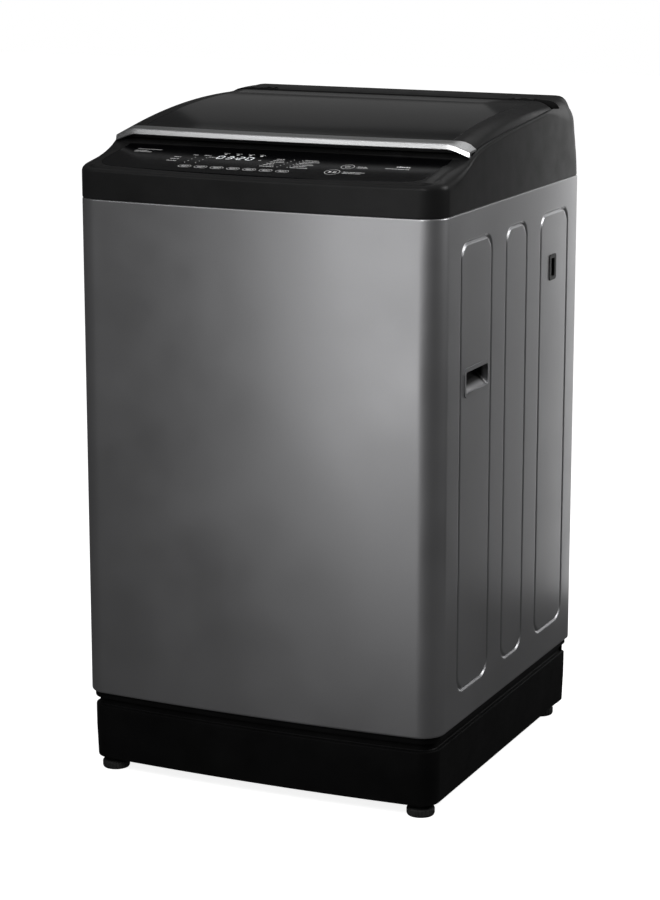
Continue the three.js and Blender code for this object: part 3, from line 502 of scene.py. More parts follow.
# ---- Meshes ----
def mesh_object(name, verts, faces, material, place=HERE):
    mesh = bpy.data.meshes.new(name)
    mesh.from_pydata([place @ Vector(v) * MM for v in verts], [], faces)
    work = bmesh.new()
    work.from_mesh(mesh)
    bmesh.ops.remove_doubles(work, verts=work.verts, dist=1e-7)
    bmesh.ops.recalc_face_normals(work, faces=work.faces)
    work.to_mesh(mesh)
    work.free()
    mesh.materials.append(material)
    thing = bpy.data.objects.new(name, mesh)
    bpy.context.scene.collection.objects.link(thing)
    return thing


def bake(thing):
    """Makes the modifiers part of the mesh."""
    graph = bpy.context.evaluated_depsgraph_get()
    made = bpy.data.meshes.new_from_object(thing.evaluated_get(graph))
    old = thing.data
    thing.modifiers.clear()
    thing.data = made
    made.name = thing.name
    bpy.data.meshes.remove(old)
    return thing


def carve(thing, *cutters, operation="DIFFERENCE"):
    for cutter in cutters:
        step = thing.modifiers.new("carve", "BOOLEAN")
        step.operation = operation
        step.solver = "EXACT"
        step.object = cutter
        bake(thing)
        bpy.data.objects.remove(cutter)
    return thing


def soften(thing, width, segments=2, angle=30.0):
    """Rounds every edge sharper than angle degrees, by width millimetres."""
    step = thing.modifiers.new("edges", "BEVEL")
    step.width = width * MM
    step.segments = segments
    step.limit_method = "ANGLE"
    step.angle_limit = math.radians(angle)
    step.miter_outer = "MITER_ARC"
    return bake(thing)


def shade(thing, angle=32.0):
    thing.data.shade_smooth()
    thing.data.set_sharp_from_angle(angle=math.radians(angle))
    step = thing.modifiers.new("normals", "WEIGHTED_NORMAL")
    step.keep_sharp = True
    return bake(thing)


def merge(name, *things):
    """Joins several meshes into the first one."""
    first = things[0]
    work = bmesh.new()
    for thing in things:
        work.from_mesh(thing.data)
    work.to_mesh(first.data)
    work.free()
    for thing in things[1:]:
        bpy.data.objects.remove(thing)
    first.name = name
    return first


def settle(thing, body, slot, *nodes):
    """Hands a finished piece over: the body it rides on and the nodes it stands for; slot is not used."""
    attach(thing, body)
    if nodes:
        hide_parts(*nodes)
    return thing


def arc(cx, cy, radius, start, end, steps):
    angles = (start + (end - start) * i / steps for i in range(steps + 1))
    return [(cx + radius * math.cos(a), cy + radius * math.sin(a)) for a in map(math.radians, angles)]


def rounded(x0, x1, y0, y1, radius, steps=8):
    return (
        arc(x1 - radius, y0 + radius, radius, -90, 0, steps)
        + arc(x1 - radius, y1 - radius, radius, 0, 90, steps)
        + arc(x0 + radius, y1 - radius, radius, 90, 180, steps)
        + arc(x0 + radius, y0 + radius, radius, 180, 270, steps)
    )


def bow(x0, x1, y, depth, steps):
    """A shallow parabola from x0 to x1 that reaches depth towards -Y in the middle."""
    middle, half = (x0 + x1) / 2, abs(x1 - x0) / 2
    xs = [x0 + (x1 - x0) * i / steps for i in range(steps + 1)]
    return [(x, y - depth * (1 - ((x - middle) / half) ** 2)) for x in xs]


def loft(name, rings, material, place=HERE, caps=True, wrap=False):
    """Skins a list of equal closed rings; wrap joins the last ring to the first."""
    count = len(rings[0])
    verts = [v for ring in rings for v in ring]
    faces = []
    spans = len(rings) if wrap else len(rings) - 1
    for k in range(spans):
        low, high = k * count, ((k + 1) % len(rings)) * count
        for i in range(count):
            j = (i + 1) % count
            faces.append((low + i, low + j, high + j, high + i))
    if caps and not wrap:
        faces.append(tuple(reversed(range(count))))
        faces.append(tuple(range((len(rings) - 1) * count, len(rings) * count)))
    return mesh_object(name, verts, faces, material, place)


def prism(outline, z0, z1, material=None, place=HERE, name="part"):
    rings = [[(x, y, z) for x, y in outline] for z in (z0, z1)]
    return loft(name, rings, material or FRAME, place)


def side_prism(outline, x0, x1, material=None, place=HERE, name="part"):
    rings = [[(x, y, z) for y, z in outline] for x in (x0, x1)]
    return loft(name, rings, material or FRAME, place)


def front_prism(outline, y0, y1, material=None, place=HERE, name="part"):
    rings = [[(x, y, z) for x, z in outline] for y in (y0, y1)]
    return loft(name, rings, material or FRAME, place)


def block(x0, x1, y0, y1, z0, z1, material=None, place=HERE):
    return prism([(x0, y0), (x1, y0), (x1, y1), (x0, y1)], z0, z1, material, place)


LEAST_RADIUS = 0.02


def turned(name, profile, material, segments=72, place=HERE):
    """A closed profile of (radius, z) turned about the vertical axis."""
    last = 360 * (segments - 1) / segments
    rings = []
    for r, z in profile:
        rings.append([(x, y, z) for x, y in arc(0, 0, max(r, LEAST_RADIUS), 0, last, segments - 1)])
    solid = profile[0][0] == 0
    return loft(name, rings, material, place, caps=solid, wrap=not solid)


def bore(radius, low, high, place=HERE, sides=40):
    """A round cutter along Z."""
    return turned("bore", [(0, low), (radius, low), (radius, high), (0, high)], FRAME, sides, place)


def tube(name, path, radius, material, sides=12):
    """A round tube along a list of points, with a frame carried along it."""
    points = [Vector(p) for p in path]
    rings = []
    side = None
    for i, point in enumerate(points):
        ahead = (points[min(i + 1, len(points) - 1)] - points[max(i - 1, 0)]).normalized()
        if side is None:
            side = ahead.orthogonal().normalized()
        side = (side - ahead * side.dot(ahead)).normalized()
        up = ahead.cross(side)
        outline = arc(0, 0, radius, 0, 360 - 360 / sides, sides - 1)
        rings.append([tuple(point + side * x + up * y) for x, y in outline])
    return loft(name, rings, material)


def smoothstep(t):
    t = min(max(t, 0.0), 1.0)
    return t * t * (3 - 2 * t)


def along(table, value):
    """Reads a table of (place, value) pairs, going evenly from one to the next."""
    for (a, first), (b, second) in zip(table, table[1:]):
        if value <= b:
            return first + (second - first) * min(max((value - a) / (b - a), 0.0), 1.0)
    return table[-1][1]


# ---- Plan of the machine ----
def side_lines(lines):
    """Stations up the right side: (x, y, normal x, normal y), from front to rear."""
    return [(HALF, y, 1.0, 0.0) for y in lines]


def corner_stations(cx, cy, radius, start, steps):
    """Stations on a quarter circle."""
    points = arc(cx, cy, radius, start, start + 90, steps)
    return [(x, y, (x - cx) / radius, (y - cy) / radius) for x, y in points]


def front_stations(corner_steps=14, bow_steps=44):
    """Stations from the left side's front end, round the bowed front, to the right side's front end."""
    cy = FRONT_Y + CORNER
    cx = HALF - CORNER
    left = corner_stations(-cx, cy, CORNER, 180, corner_steps)
    right = corner_stations(cx, cy, CORNER, -90, corner_steps)
    middle = []
    for x, y in bow(-cx, cx, FRONT_Y, BOW, bow_steps)[1:-1]:
        normal = Vector((2 * BOW * x / cx**2, -1.0)).normalized()
        middle.append((x, y, normal.x, normal.y))
    return left + middle + right


def rear_corner(steps=5):
    return corner_stations(HALF - REAR_CORNER, REAR_Y - REAR_CORNER, REAR_CORNER, 0, steps)


def mirrored(stations):
    return [(-x, y, -nx, ny) for x, y, nx, ny in reversed(stations)]


def inset_ring(stations, inset, z):
    return [(x - inset * nx, y - inset * ny, z) for x, y, nx, ny in stations]


def thin(lines, least):
    """Sorts grid lines and drops those closer than least to the one before."""
    kept = []
    for value in sorted(lines):
        if not kept or value - kept[-1] > least:
            kept.append(value)
    return kept


# ---- Cabinet ----
def rib_depth(y, z):
    """Depth of the pressed channels at a point of the side."""
    depth = 0.0
    for y0, y1 in RIBS:
        qy = abs(y - (y0 + y1) / 2) - ((y1 - y0) / 2 - RIB_RADIUS)
        qz = abs(z - (RIB_BOTTOM + RIB_TOP) / 2) - ((RIB_TOP - RIB_BOTTOM) / 2 - RIB_RADIUS)
        outside = math.hypot(max(qy, 0.0), max(qz, 0.0)) + min(max(qy, qz), 0.0)
        t = (RIB_RADIUS - outside) / RIB_WIDTH
        if 0.0 < t < 1.0:
            depth = max(depth, RIB_DEPTH * (0.5 - 0.5 * math.cos(2 * math.pi * t)))
    return depth


def fine_lines(edges, reach, step):
    offsets = [k * step for k in range(int(reach / step) + 1)]
    return [edge + sign * offset for edge in edges for sign in (-1, 1) for offset in offsets]


def rib_lines(low, high):
    """Grid lines across one pressed channel: close on its flanks, looser round its corners."""
    close = fine_lines((low + RIB_WIDTH / 2, high - RIB_WIDTH / 2), RIB_WIDTH / 2 + 1, 0.9)
    return close + fine_lines((low + RIB_RADIUS / 2, high - RIB_RADIUS / 2), RIB_RADIUS / 2 + 4, 2.2)


def snap_lines(lines, target):
    """Replaces the grid lines close to target by one exactly on it."""
    for value in [v for v in lines if abs(v - target) < SNAP_REACH]:
        lines.remove(value)
    lines.append(target)


SNAP_REACH = 1.5
LINE_GAP = 0.8
CUTOUT_RIM = 2.0
SHEET = 1.0
REAR_FLANGE = 16.0


def in_cutout(cutout, y, z):
    y0, y1, z0, z1 = cutout
    return y0 + CUTOUT_RIM < y < y1 - CUTOUT_RIM and z0 + CUTOUT_RIM < z < z1 - CUTOUT_RIM


def cabinet_stations(front, rear, ys):
    side = side_lines(sorted({front, rear, *ys})[1:])
    flange = [(HALF - REAR_FLANGE + x, REAR_Y, 0.0, 1.0) for x in (4.0, 0.0)]
    right = side + rear_corner()[1:] + flange
    return mirrored(right) + front_stations() + right


def make_cabinet():
    """The bent sheet: stations along its plan, rows up its height, with cut-outs for grips and socket."""
    front, rear = FRONT_Y + CORNER, REAR_Y - REAR_CORNER
    ys = [front + (rear - front) * i / 18 for i in range(19)]
    for y0, y1 in RIBS:
        ys += rib_lines(y0, y1)
    zs = [CABINET_BOTTOM + (SEAM_Z - CABINET_BOTTOM) * i / 12 for i in range(1, 12)]
    zs += rib_lines(RIB_BOTTOM, RIB_TOP)
    ys = [y for y in thin(ys, LINE_GAP) if front <= y <= rear]
    for y0, y1, z0, z1 in (HANDLE, HOOK):
        for low, high, lines in ((y0, y1, ys), (z0, z1, zs)):
            snap_lines(lines, low + CUTOUT_RIM)
            snap_lines(lines, high - CUTOUT_RIM)
    stations = cabinet_stations(front, rear, ys)
    z = CABINET_BOTTOM
    hem = [(2.6, z), (1.2, z + 0.5), (0.35, z + 1.6), (0.0, z + 3.6)]
    lip = [(0.0, SEAM_Z - 2.6), (0.25, SEAM_Z - 1.2), (0.9, SEAM_Z - 0.35), (2.2, SEAM_Z)]
    rows = hem + [(0.0, z) for z in thin(zs, LINE_GAP) if CABINET_BOTTOM + 5 < z < SEAM_Z - 4] + lip
    verts = []
    for inset, z in rows:
        for x, y, nx, ny in stations:
            depth = inset + (rib_depth(y, z) if abs(nx) == 1.0 else 0.0)
            verts.append((x - depth * nx, y - depth * ny, z))
    width = len(stations)
    faces = []
    for k in range(len(rows) - 1):
        for i in range(width - 1):
            (x, y, nx, _), (_, next_y, next_nx, _) = stations[i], stations[i + 1]
            middle = (y + next_y) / 2, (rows[k][1] + rows[k + 1][1]) / 2
            flat = abs(nx) == 1.0 and abs(next_nx) == 1.0
            if flat and (in_cutout(HANDLE, *middle) or x > 0 and in_cutout(HOOK, *middle)):
                continue
            low = k * width + i
            faces.append((low, low + 1, low + 1 + width, low + width))
    wrap = mesh_object("cabinet_wrap_sheet", verts, faces, PAINT)
    thickness = wrap.modifiers.new("sheet", "SOLIDIFY")
    thickness.thickness = SHEET * MM
    thickness.offset = -1.0
    bake(wrap)
    settle(shade(wrap, 50), "cabinet", "cabinet_paint", "cabinet_wrap")


BRACKET_Z = 846.0


def make_brackets():
    """Corner plates under the frame's edge that the suspension rods hang from."""
    z = BRACKET_Z
    x, y = HALF - 1.2, REAR_Y - 1.2
    inner = ROD_XY - 44
    outline = [(x, inner), (x, y - 36), (x - 36, y), (inner, y), (inner, inner + 36), (inner + 36, inner)]
    for sx, sy, name in CORNERS:
        plate = prism([(sx * a, sy * b) for a, b in outline], z, z + 2, ZINC)
        carve(plate, bore(6, z - 5, z + 9, at(sx * ROD_XY, sy * ROD_XY), 32))
        soften(plate, 0.4, 1)
        plate.name = f"bracket_{name}"
        settle(shade(plate), "cabinet", "zinc_sheet")


GRIP_DEPTH = 27.0
SCOOP_STEPS = (0, 0.15, 0.3, 0.45, 0.6, 0.75, 0.9, 1.0)


def side_handle(side, name):
    """The carry grip: a shallow painted scoop below, and a pocket that rises behind the lip, dark with
    painted shade.
    """
    y0, y1, z0, z1 = HANDLE
    flip = Matrix.Diagonal((side, 1, 1, 1))
    flange = side_prism(rounded(y0 - 4, y1 + 4, z0 - 4, z1 + 4, 10), HALF + 0.1, HALF + 1.25, GRIP)
    neck = side_prism(rounded(y0, y1, z0, z1, 8), HALF - 8, HALF + 0.8, GRIP)
    rear, outer = HALF - GRIP_DEPTH, HALF - 1.5
    back = [(outer, z0), (HALF - 20, z0 + 14), (rear, z0 + 22), (rear, z1 + 14), (outer, z1 + 14)]
    shell = front_prism(back, y0 - 2, y1 + 2, GRIP)
    scoop = [(HALF + 5, z0 + 2)]
    scoop += [(HALF + 1 - 19 * t, z0 + 2 + 15 * smoothstep(t)) for t in SCOOP_STEPS]
    scoop += [(rear + 2, z0 + 24), (rear + 2, z1 + 12)]
    scoop += [(HALF - 4, z1 + 12), (HALF - 4, z1 - 2), (HALF + 5, z1 - 2)]
    pocket = front_prism(scoop, y0 + 2, y1 - 2)
    soften(pocket, 4.0, 4, 50)
    cup = carve(flange, neck, shell, operation="UNION")
    carve(cup, pocket)
    soften(cup, 0.5, 2, 40)
    cup.data.transform(flip)
    if side < 0:
        cup.data.flip_normals()
    cup.name = f"carry_grip_{name}"
    settle(shade(cup), "cabinet", "cabinet_paint", f"side_handle_{name}")


def make_hook_socket():
    y0, y1, z0, z1 = HOOK
    flange = side_prism(rounded(y0, y1, z0, z1, 5), HALF + 0.1, HALF + 1.25)
    body = side_prism(rounded(y0 + 3.5, y1 - 3.5, z0 + 3.5, z1 - 3.5, 3), HALF - 14, HALF + 1)
    slot = side_prism(rounded(y0 + 8, y1 - 8, z0 + 6, z1 - 6, 2.5), HALF - 12, HALF + 5)
    socket_mesh = carve(carve(flange, body, operation="UNION"), slot)
    soften(socket_mesh, 0.5, 2, 40)
    socket_mesh.name = "hose_hook_slot"
    tongue = side_prism(rounded(y0 + 11, y1 - 11, z0 + 15, z1 - 8, 1.5, 4), HALF - 11.5, HALF - 4)
    soften(tongue, 0.4)
    merge("hose_hook_slot", socket_mesh, tongue)
    settle(shade(socket_mesh), "cabinet", "frame_plastic", "hose_hook_socket")


def closed_plan(rear_steps=24):
    ys = [FRONT_Y + CORNER + (REAR_Y - REAR_CORNER - FRONT_Y - CORNER) * i / 40 for i in range(1, 41)]
    ys = thin(ys + [REAR_Y - 11.5 - 4.5 * i for i in range(8)], 1.0)
    right = side_lines(ys) + rear_corner()[1:]
    half = HALF - REAR_CORNER
    rear = [(half - 2 * half * i / rear_steps, REAR_Y, 0.0, 1.0) for i in range(1, rear_steps)]
    return mirrored(right)[: len(right)] + front_stations() + right + rear


def make_skirt():
    """Base skirt: a lip under the cabinet, a groove, and a straight band that draws in a little."""
    stations = closed_plan()
    outer = [
        (9.0, 20.4), (8.2, 21.0), (7.9, 23.0), (6.2, 70.0), (6.0, 101.0), (6.4, 103.2), (7.8, 104.2),
        (11.0, 104.8), (12.0, 105.8), (12.0, 114.4), (11.2, 115.4), (6.6, 115.8), (5.5, 116.6), (5.1, 118.0),
        (5.0, 124.6), (5.6, 125.6),
    ]
    inner = [
        (8.0, 125.7), (8.0, 118.6), (14.8, 118.0), (14.8, 102.0), (9.6, 100.0), (9.6, 24.0), (30.0, 24.0),
        (30.0, 20.4),
    ]
    skirt = loft("skirt_body", [inset_ring(stations, d, z) for d, z in outer + inner], SKIRT, wrap=True)
    pad = [(5.6, 20.3), (30, 20.3), (31, 24), (31, 60), (5.6, 60)]
    pads = [turned("pad", pad, SKIRT, 40, at(sx * 248, sy * 246)) for sx, sy, name in CORNERS]
    merge("skirt_body", shade(skirt, 28), *pads)
    settle(skirt, "cabinet", "skirt_plastic", "base_skirt")


FOOT_RIBS = 24


def make_foot(name, sx, sy):
    """A moulded foot with grip ribs round it, a jam nut and the threaded stud."""
    profile = [
        (0.02, 0.0, 0), (17.5, 0.0, 0), (19.6, 0.8, 0), (20.6, 2.6, 1), (20.9, 4.0, 1), (20.9, 10.0, 1),
        (20.2, 11.4, 1), (18.8, 12.2, 0), (12.0, 13.2, 0), (9.6, 13.6, 0), (9.4, 19.2, 0), (5.0, 19.4, 0),
    ]
    thread = [(5.0 - 0.6 * (k % 2), 19.6 + k * 1.25, 0) for k in range(29)]
    rings = []
    steps = FOOT_RIBS * 4
    for r, z, ribbed in profile + thread + [(0.02, 56.0, 0)]:
        ring = []
        for i in range(steps):
            groove = 0.9 * ribbed * max(0.0, math.cos(2 * math.pi * i / 4))
            angle = 2 * math.pi * i / steps
            ring.append(((r - groove) * math.cos(angle), (r - groove) * math.sin(angle), z))
        rings.append(ring)
    foot = loft(f"levelling_foot_{name}", rings, RUBBER, at(sx * FOOT_X, sy * FOOT_Y))
    body = f"foot_{name}" if sy < 0 else "cabinet"
    settle(shade(foot), body, "black_rubber", f"foot_{name}")


# ---- Top frame ----
CREST = (
    (-300, 926.2), (-284, 928.6), (-262, 932.6), (-245, 936.0), (-220, 940.4), (-196, 944.6), (-180, 948.2),
    (-172, 951.0), (-160, 957.0), (-130, 965.6), (-100, 970.0), (-60, 974.8), (-23, 978.6), (20, 982.6),
    (60, 985.8), (110, 989.8), (152, 993.6), (180, 996.6), (200, 999.8), (216, 1003.2), (232, TOP_Z),
    (300, TOP_Z),
)
FILLET = (
    (-300, 6.5), (-288, 6.5), (-272, 10.0), (-250, 16.0), (-225, 17.0), (-200, 13.0), (-180, 8.0),
    (-160, 5.5), (152, 5.5), (180, 14.0), (200, 22.0), (216, 30.0), (235, SHOULDER), (300, SHOULDER),
)
REAR_FILLET = 8.0
HOOD_CORNER_GROWTH = 27.0
HOOD_CORNER_RISE = 115.0
DECK_CUT_Y = -204.0
RISE_START = 259
RISE_WIDTH = 14
UPRIGHT_TOP = 905.0


def deck_surface(x, y):
    """The deck, rising at its sides to the crest of the frame."""
    rise = smoothstep((abs(x) - RISE_START) / RISE_WIDTH)
    return deck_top(y) * (1 - rise) + along(CREST, y) * rise


def top_surface(x, y):
    """Height of the frame's top inside its rounded rim, before the lid's pocket is cut."""
    if y > HOOD_Y - 3:
        return TOP_Z
    if y > DECK_CUT_Y + 8:
        return along(CREST, y)
    return deck_surface(x, y)


def deck_room():
    """What is cut away over the rear part of the deck, up to the step in front of the lid's seat."""
    blend_xs = [RISE_START + (RISE_WIDTH + 1) * i / 12 for i in range(13)]
    xs = [-x for x in reversed(blend_xs)] + blend_xs
    rings = []
    for i in range(15):
        y = DECK_CUT_Y + (SEAT_FRONT_Y - DECK_CUT_Y) * i / 14
        ring = [(x, y, deck_surface(x, y) + 0.02) for x in xs]
        rings.append(ring + [(274, y, 1090), (-274, y, 1090)])
    return loft("deck_room", rings, FRAME)


def round_hood_corner(x, y, z):
    """Draws a point in so that the plan radius of the rear corners grows with height."""
    radius = REAR_CORNER + 4 + HOOD_CORNER_GROWTH * smoothstep((z - SEAM_Z) / HOOD_CORNER_RISE)
    dx, dy = abs(x) - (HALF - radius), y - (REAR_Y - radius)
    if dx <= 0 or dy <= 0:
        return (x, y, z)
    pull = max(dx, dy) / math.hypot(dx, dy)
    return (math.copysign(HALF - radius + dx * pull, x), REAR_Y - radius + dy * pull, z)


def shoulder_drop(x):
    """How far the hood's rounded shoulder lies below its top."""
    inward = max(SHOULDER - (HALF - abs(x)), 0.0)
    return SHOULDER - math.sqrt(max(SHOULDER**2 - inward**2, 0.0))


def rear_rim_point(x, nx, ny, theta):
    """A point of the rim at the rear, where the hood's shoulder meets its own smaller round."""
    dx, dy = SHOULDER * (1 - math.cos(theta)), REAR_FILLET * (1 - math.cos(theta))
    rx, ry = max(REAR_CORNER - dx, 0.05), max(REAR_CORNER - dy, 0.05)
    side = 1 if x > 0 else -1
    limit = HALF - dx - rx
    px = side * (limit + rx * abs(nx)) if abs(nx) > 1e-9 else max(min(x, limit), -limit)
    drop = shoulder_drop(px) + REAR_FILLET * ny * ny * (1 - math.sin(theta))
    return (px, REAR_Y - dy - ry + ry * ny, TOP_Z - drop)


def rim_point(x, y, nx, ny, theta):
    """A point of the rounded rim, from its upright start (theta 0) to its inner edge (a quarter turn)."""
    if y > REAR_Y - REAR_CORNER - 1e-6:
        return rear_rim_point(x, nx, ny, theta)
    crest, radius = along(CREST, y), along(FILLET, y)
    inset = radius * (1 - math.cos(theta))
    return (x - inset * nx, y - inset * ny, crest - radius * (1 - math.sin(theta)))


def frame_block():
    """The frame as a solid: upright sides, a rim rounded along CREST and FILLET, then its top."""
    stations = closed_plan()
    count = 9
    lower = [(1.2, SEAM_Z + 0.4), (0.25, SEAM_Z + 1.1), (0.0, SEAM_Z + 2.6), (0.0, UPRIGHT_TOP)]
    rings = [inset_ring(stations, d, z) for d, z in lower]
    for share in (0.25, 0.5, 0.75):
        rise = [share * (along(CREST, y) - along(FILLET, y) - UPRIGHT_TOP) for x, y, nx, ny in stations]
        rings.append([(x, y, UPRIGHT_TOP + up) for (x, y, nx, ny), up in zip(stations, rise)])
    for k in range(count + 1):
        theta = math.pi / 2 * k / count
        rings.append([rim_point(*station, theta) for station in stations])
    edge = rings[-1]
    for shrink in [0.006 + 0.007 * i for i in range(15)] + [0.13, 0.18, 0.26, 0.385, 0.402, 0.6, 0.9]:
        inner = [(x * (1 - shrink), y * (1 - shrink)) for x, y, z in edge]
        rings.append([(x, y, top_surface(x, y)) for x, y in inner])
    rings = [[round_hood_corner(x, y, z) for x, y, z in ring] for ring in rings]
    return loft("top_frame_shell", rings, FRAME)


def pocket_cutter():
    room = side_prism(
        [(SEAT_FRONT_Y, seat(SEAT_FRONT_Y)), (HOOD_Y, seat(HOOD_Y)), (HOOD_Y, 1090), (SEAT_FRONT_Y, 1090)],
        -POCKET_HALF, POCKET_HALF,
    )
    trough = arc(HINGE_Y, HINGE_Z, HINGE_DROP + 1, 0, 360 - 360 / 48, 47)
    carve(room, side_prism(trough, -POCKET_HALF, POCKET_HALF), operation="UNION")
    plan = prism(rounded(-POCKET_HALF, POCKET_HALF, -400, HOOD_Y, POCKET_CORNER), 900, 1100)
    return carve(room, plan, operation="INTERSECT")


def panel_outline(inset, steps=14):
    half = PANEL_HALF - inset
    y0 = 3.5 + inset
    r = PANEL_CORNER - inset
    points = bow(-half + r, half - r, y0, 0.95 * BOW, 30)
    points += arc(half - r, y0 + r, r, -90, 0, steps)[1:]
    points += [(half, PANEL_DEPTH - inset), (-half, PANEL_DEPTH - inset)]
    return points + arc(-half + r, y0 + r, r, 180, 270, steps)[:-1]


def well_outline(grow):
    return rounded(WELL[0] - grow, WELL[1] + grow, WELL[2] - grow, WELL[3] + grow, WELL_RADIUS + grow, 14)


def frame_cavity():
    """The room inside the frame, which leaves a shell about 3 mm thick."""
    cavity = side_prism(
        [(-282, 870), (282, 870), (282, 990), (234, 990), (224, 972), (188, 972), (184, seat(184) - 3),
         (-160, seat(-160) - 3), (-164, deck_top(-164) - 6), (-282, deck_top(-282) - 6)],
        -282, 282,
    )
    carve(cavity, prism(well_outline(WELL_WALL), 800, 1060))
    carve(cavity, prism(rounded(-278, 278, -282, 282, 30), 800, 1060), operation="INTERSECT")
    x, z, radius = HALF - SHOULDER - 3, TOP_Z - SHOULDER - 3, SHOULDER - 6
    shoulder = [(-281, 860), (281, 860)] + arc(x, z, radius, 0, 90, 8) + arc(-x, z, radius, 90, 180, 8)
    return carve(cavity, front_prism(shoulder, -300, 300), operation="INTERSECT")


def well_wall():
    """The wall that leads from the opening down to the tub."""
    outer, inner = well_outline(WELL_WALL), well_outline(0)
    rows = ((outer, SEAM_Z + 1), (outer, WELL_BOTTOM + 0.8), (inner, WELL_BOTTOM), (inner, SEAM_Z + 1))
    return shade(loft("wall", [[(x, y, z) for x, y in ring] for ring, z in rows], FRAME, wrap=True))


def hinge_ears():
    eye = arc(HINGE_Y, HINGE_Z, EAR_RADIUS, 0, 180, 12)
    ear = eye + [(HINGE_Y + side * EAR_RADIUS, HINGE_Z - 15) for side in (-1, 1)]
    return [shade(soften(side_prism(ear, x0, x0 + EAR_WIDTH), 0.4)) for x0 in EARS]


def make_top_frame():
    """The shell with its pocket, well and hollow inside, and the ears that hold the hinge pins."""
    frame_mesh = frame_block()
    carve(frame_mesh, pocket_cutter())
    carve(frame_mesh, deck_room())
    carve(frame_mesh, prism(panel_outline(-0.4), -PANEL_THICK - GAP, 30, place=DECK_PLACE))
    carve(frame_mesh, prism(well_outline(0), 860, 1060))
    carve(frame_mesh, frame_cavity())
    x0, x1, y0, _, z0, z1 = DRAWER
    carve(frame_mesh, block(x0 - 0.6, x1 + 0.6, y0 - 5.5, y0 + 4.5, z0 - 0.5, z1 + 0.8))
    carve(frame_mesh, bore(3.1, 945, 975, at(LOCK_X, -118), 24))
    carve(frame_mesh, front_prism(rounded(-222, 222, 900, 972, 8), REAR_Y - 12, REAR_Y + 4))
    soften(frame_mesh, 0.7, 2, 34)
    shade(frame_mesh, 30)
    merge("top_frame_shell", frame_mesh, well_wall(), *hinge_ears())
    settle(frame_mesh, "cabinet", "frame_plastic", "top_frame")


# ---- Control panel ----
def make_panel():
    film = prism(panel_outline(GAP), -PANEL_THICK, 0, FILM, DECK_PLACE, "touch_film")
    soften(film, 0.35, 2, 40)
    settle(shade(film, 25), "cabinet", "panel_film", "control_panel")


class Marks:
    """Printed marks on the film, drawn in the deck's plane just above it."""

    LIFT = 0.06

    def __init__(self):
        self.verts = []
        self.faces = []

    def shape(self, points):
        start = len(self.verts)
        self.verts += [(x, y, self.LIFT) for x, y in points]
        self.faces.append(tuple(range(start, start + len(points))))

    def bar(self, x, y, width, height):
        self.shape([(x, y), (x + width, y), (x + width, y + height), (x, y + height)])

    def ring(self, outer, inner):
        count = len(outer)
        start = len(self.verts)
        self.verts += [(x, y, self.LIFT) for x, y in outer + inner]
        for i in range(count):
            j = (i + 1) % count
            self.faces.append((start + i, start + j, start + count + j, start + count + i))

    def dot(self, x, y, radius, steps=12):
        self.shape(arc(x, y, radius, 0, 360 - 360 / steps, steps - 1))

    def words(self, x, y, length, height, letter=1.5):
        """A row of short strokes that reads as a line of small print without being any."""
        place = 0.0
        k = 0
        while place < length:
            tall = height * (0.7, 1.0, 0.8, 0.65, 0.9)[k % 5]
            self.bar(x + place, y, letter * 0.72, tall)
            place += letter * (1.6 if k % 6 == 5 else 1.0)
            k += 1

    def make(self, name, material, slot="panel_film"):
        thing = mesh_object(name, self.verts, self.faces, material, DECK_PLACE)
        return settle(thing, "cabinet", slot)


SEGMENTS = {"0": "abcdef", "3": "abgcd", "2": "abged"}


def digit(marks, x, y, width, height, kind):
    """A seven-segment digit that leans to the right."""
    thick = width * 0.17
    half = height / 2
    low, high = (thick, half - 0.4), (half + 0.4, height - thick)
    boxes = {
        "a": (thick, height - thick, width - thick, height),
        "b": (width - thick, high[0], width, high[1]),
        "c": (width - thick, low[0], width, low[1]),
        "d": (thick, 0, width - thick, thick),
        "e": (0, low[0], thick, low[1]),
        "f": (0, high[0], thick, high[1]),
        "g": (thick, half - thick / 2, width - thick, half + thick / 2),
    }
    for segment in SEGMENTS[kind]:
        x0, y0, x1, y1 = boxes[segment]
        corners = [(x0, y0), (x1, y0), (x1, y1), (x0, y1)]
        marks.shape([(x + px + 0.12 * py, y + py) for px, py in corners])


KEY_COUNT = 7
KEY_PITCH = 26.0
KEY_START = -119.0
KEY_Y = 22.0


def mark_keys(marks):
    """The row of long keys along the front."""
    for k in range(KEY_COUNT):
        cx = KEY_START + k * KEY_PITCH
        outer = rounded(cx - 10, cx + 10, KEY_Y - 5.2, KEY_Y + 5.2, 4.6, 5)
        inner = rounded(cx - 9.4, cx + 9.4, KEY_Y - 4.6, KEY_Y + 4.6, 4.0, 5)
        marks.ring(outer, inner)
        marks.words(cx - 6.2, KEY_Y + 0.4, 12, 2.2)
        marks.words(cx - 4.6, KEY_Y - 2.8, 9, 1.8, 1.2)


def mark_round_keys(marks):
    """The start key with its two signs, the power key, and the print beside them."""
    for cx, cy, r in ((111, 31, 11.5), (123, 59, 10.0)):
        marks.ring(arc(cx, cy, r, 0, 350, 35), arc(cx, cy, r - 0.7, 0, 350, 35))
    marks.shape([(105.5, 27.5), (105.5, 34.5), (111, 31)])
    marks.bar(112.6, 27.8, 1.5, 6.4)
    marks.bar(115.4, 27.8, 1.5, 6.4)
    marks.ring(arc(123, 58.4, 3.9, 125, 415, 24), arc(123, 58.4, 3.1, 125, 415, 24))
    marks.bar(122.6, 59.4, 0.8, 4.2)
    marks.words(127, 32.5, 32, 2.6)
    marks.words(127, 27.2, 28, 2.4)
    marks.words(138, 59.5, 13, 2.6)
    marks.words(138, 55.0, 17, 2.2)


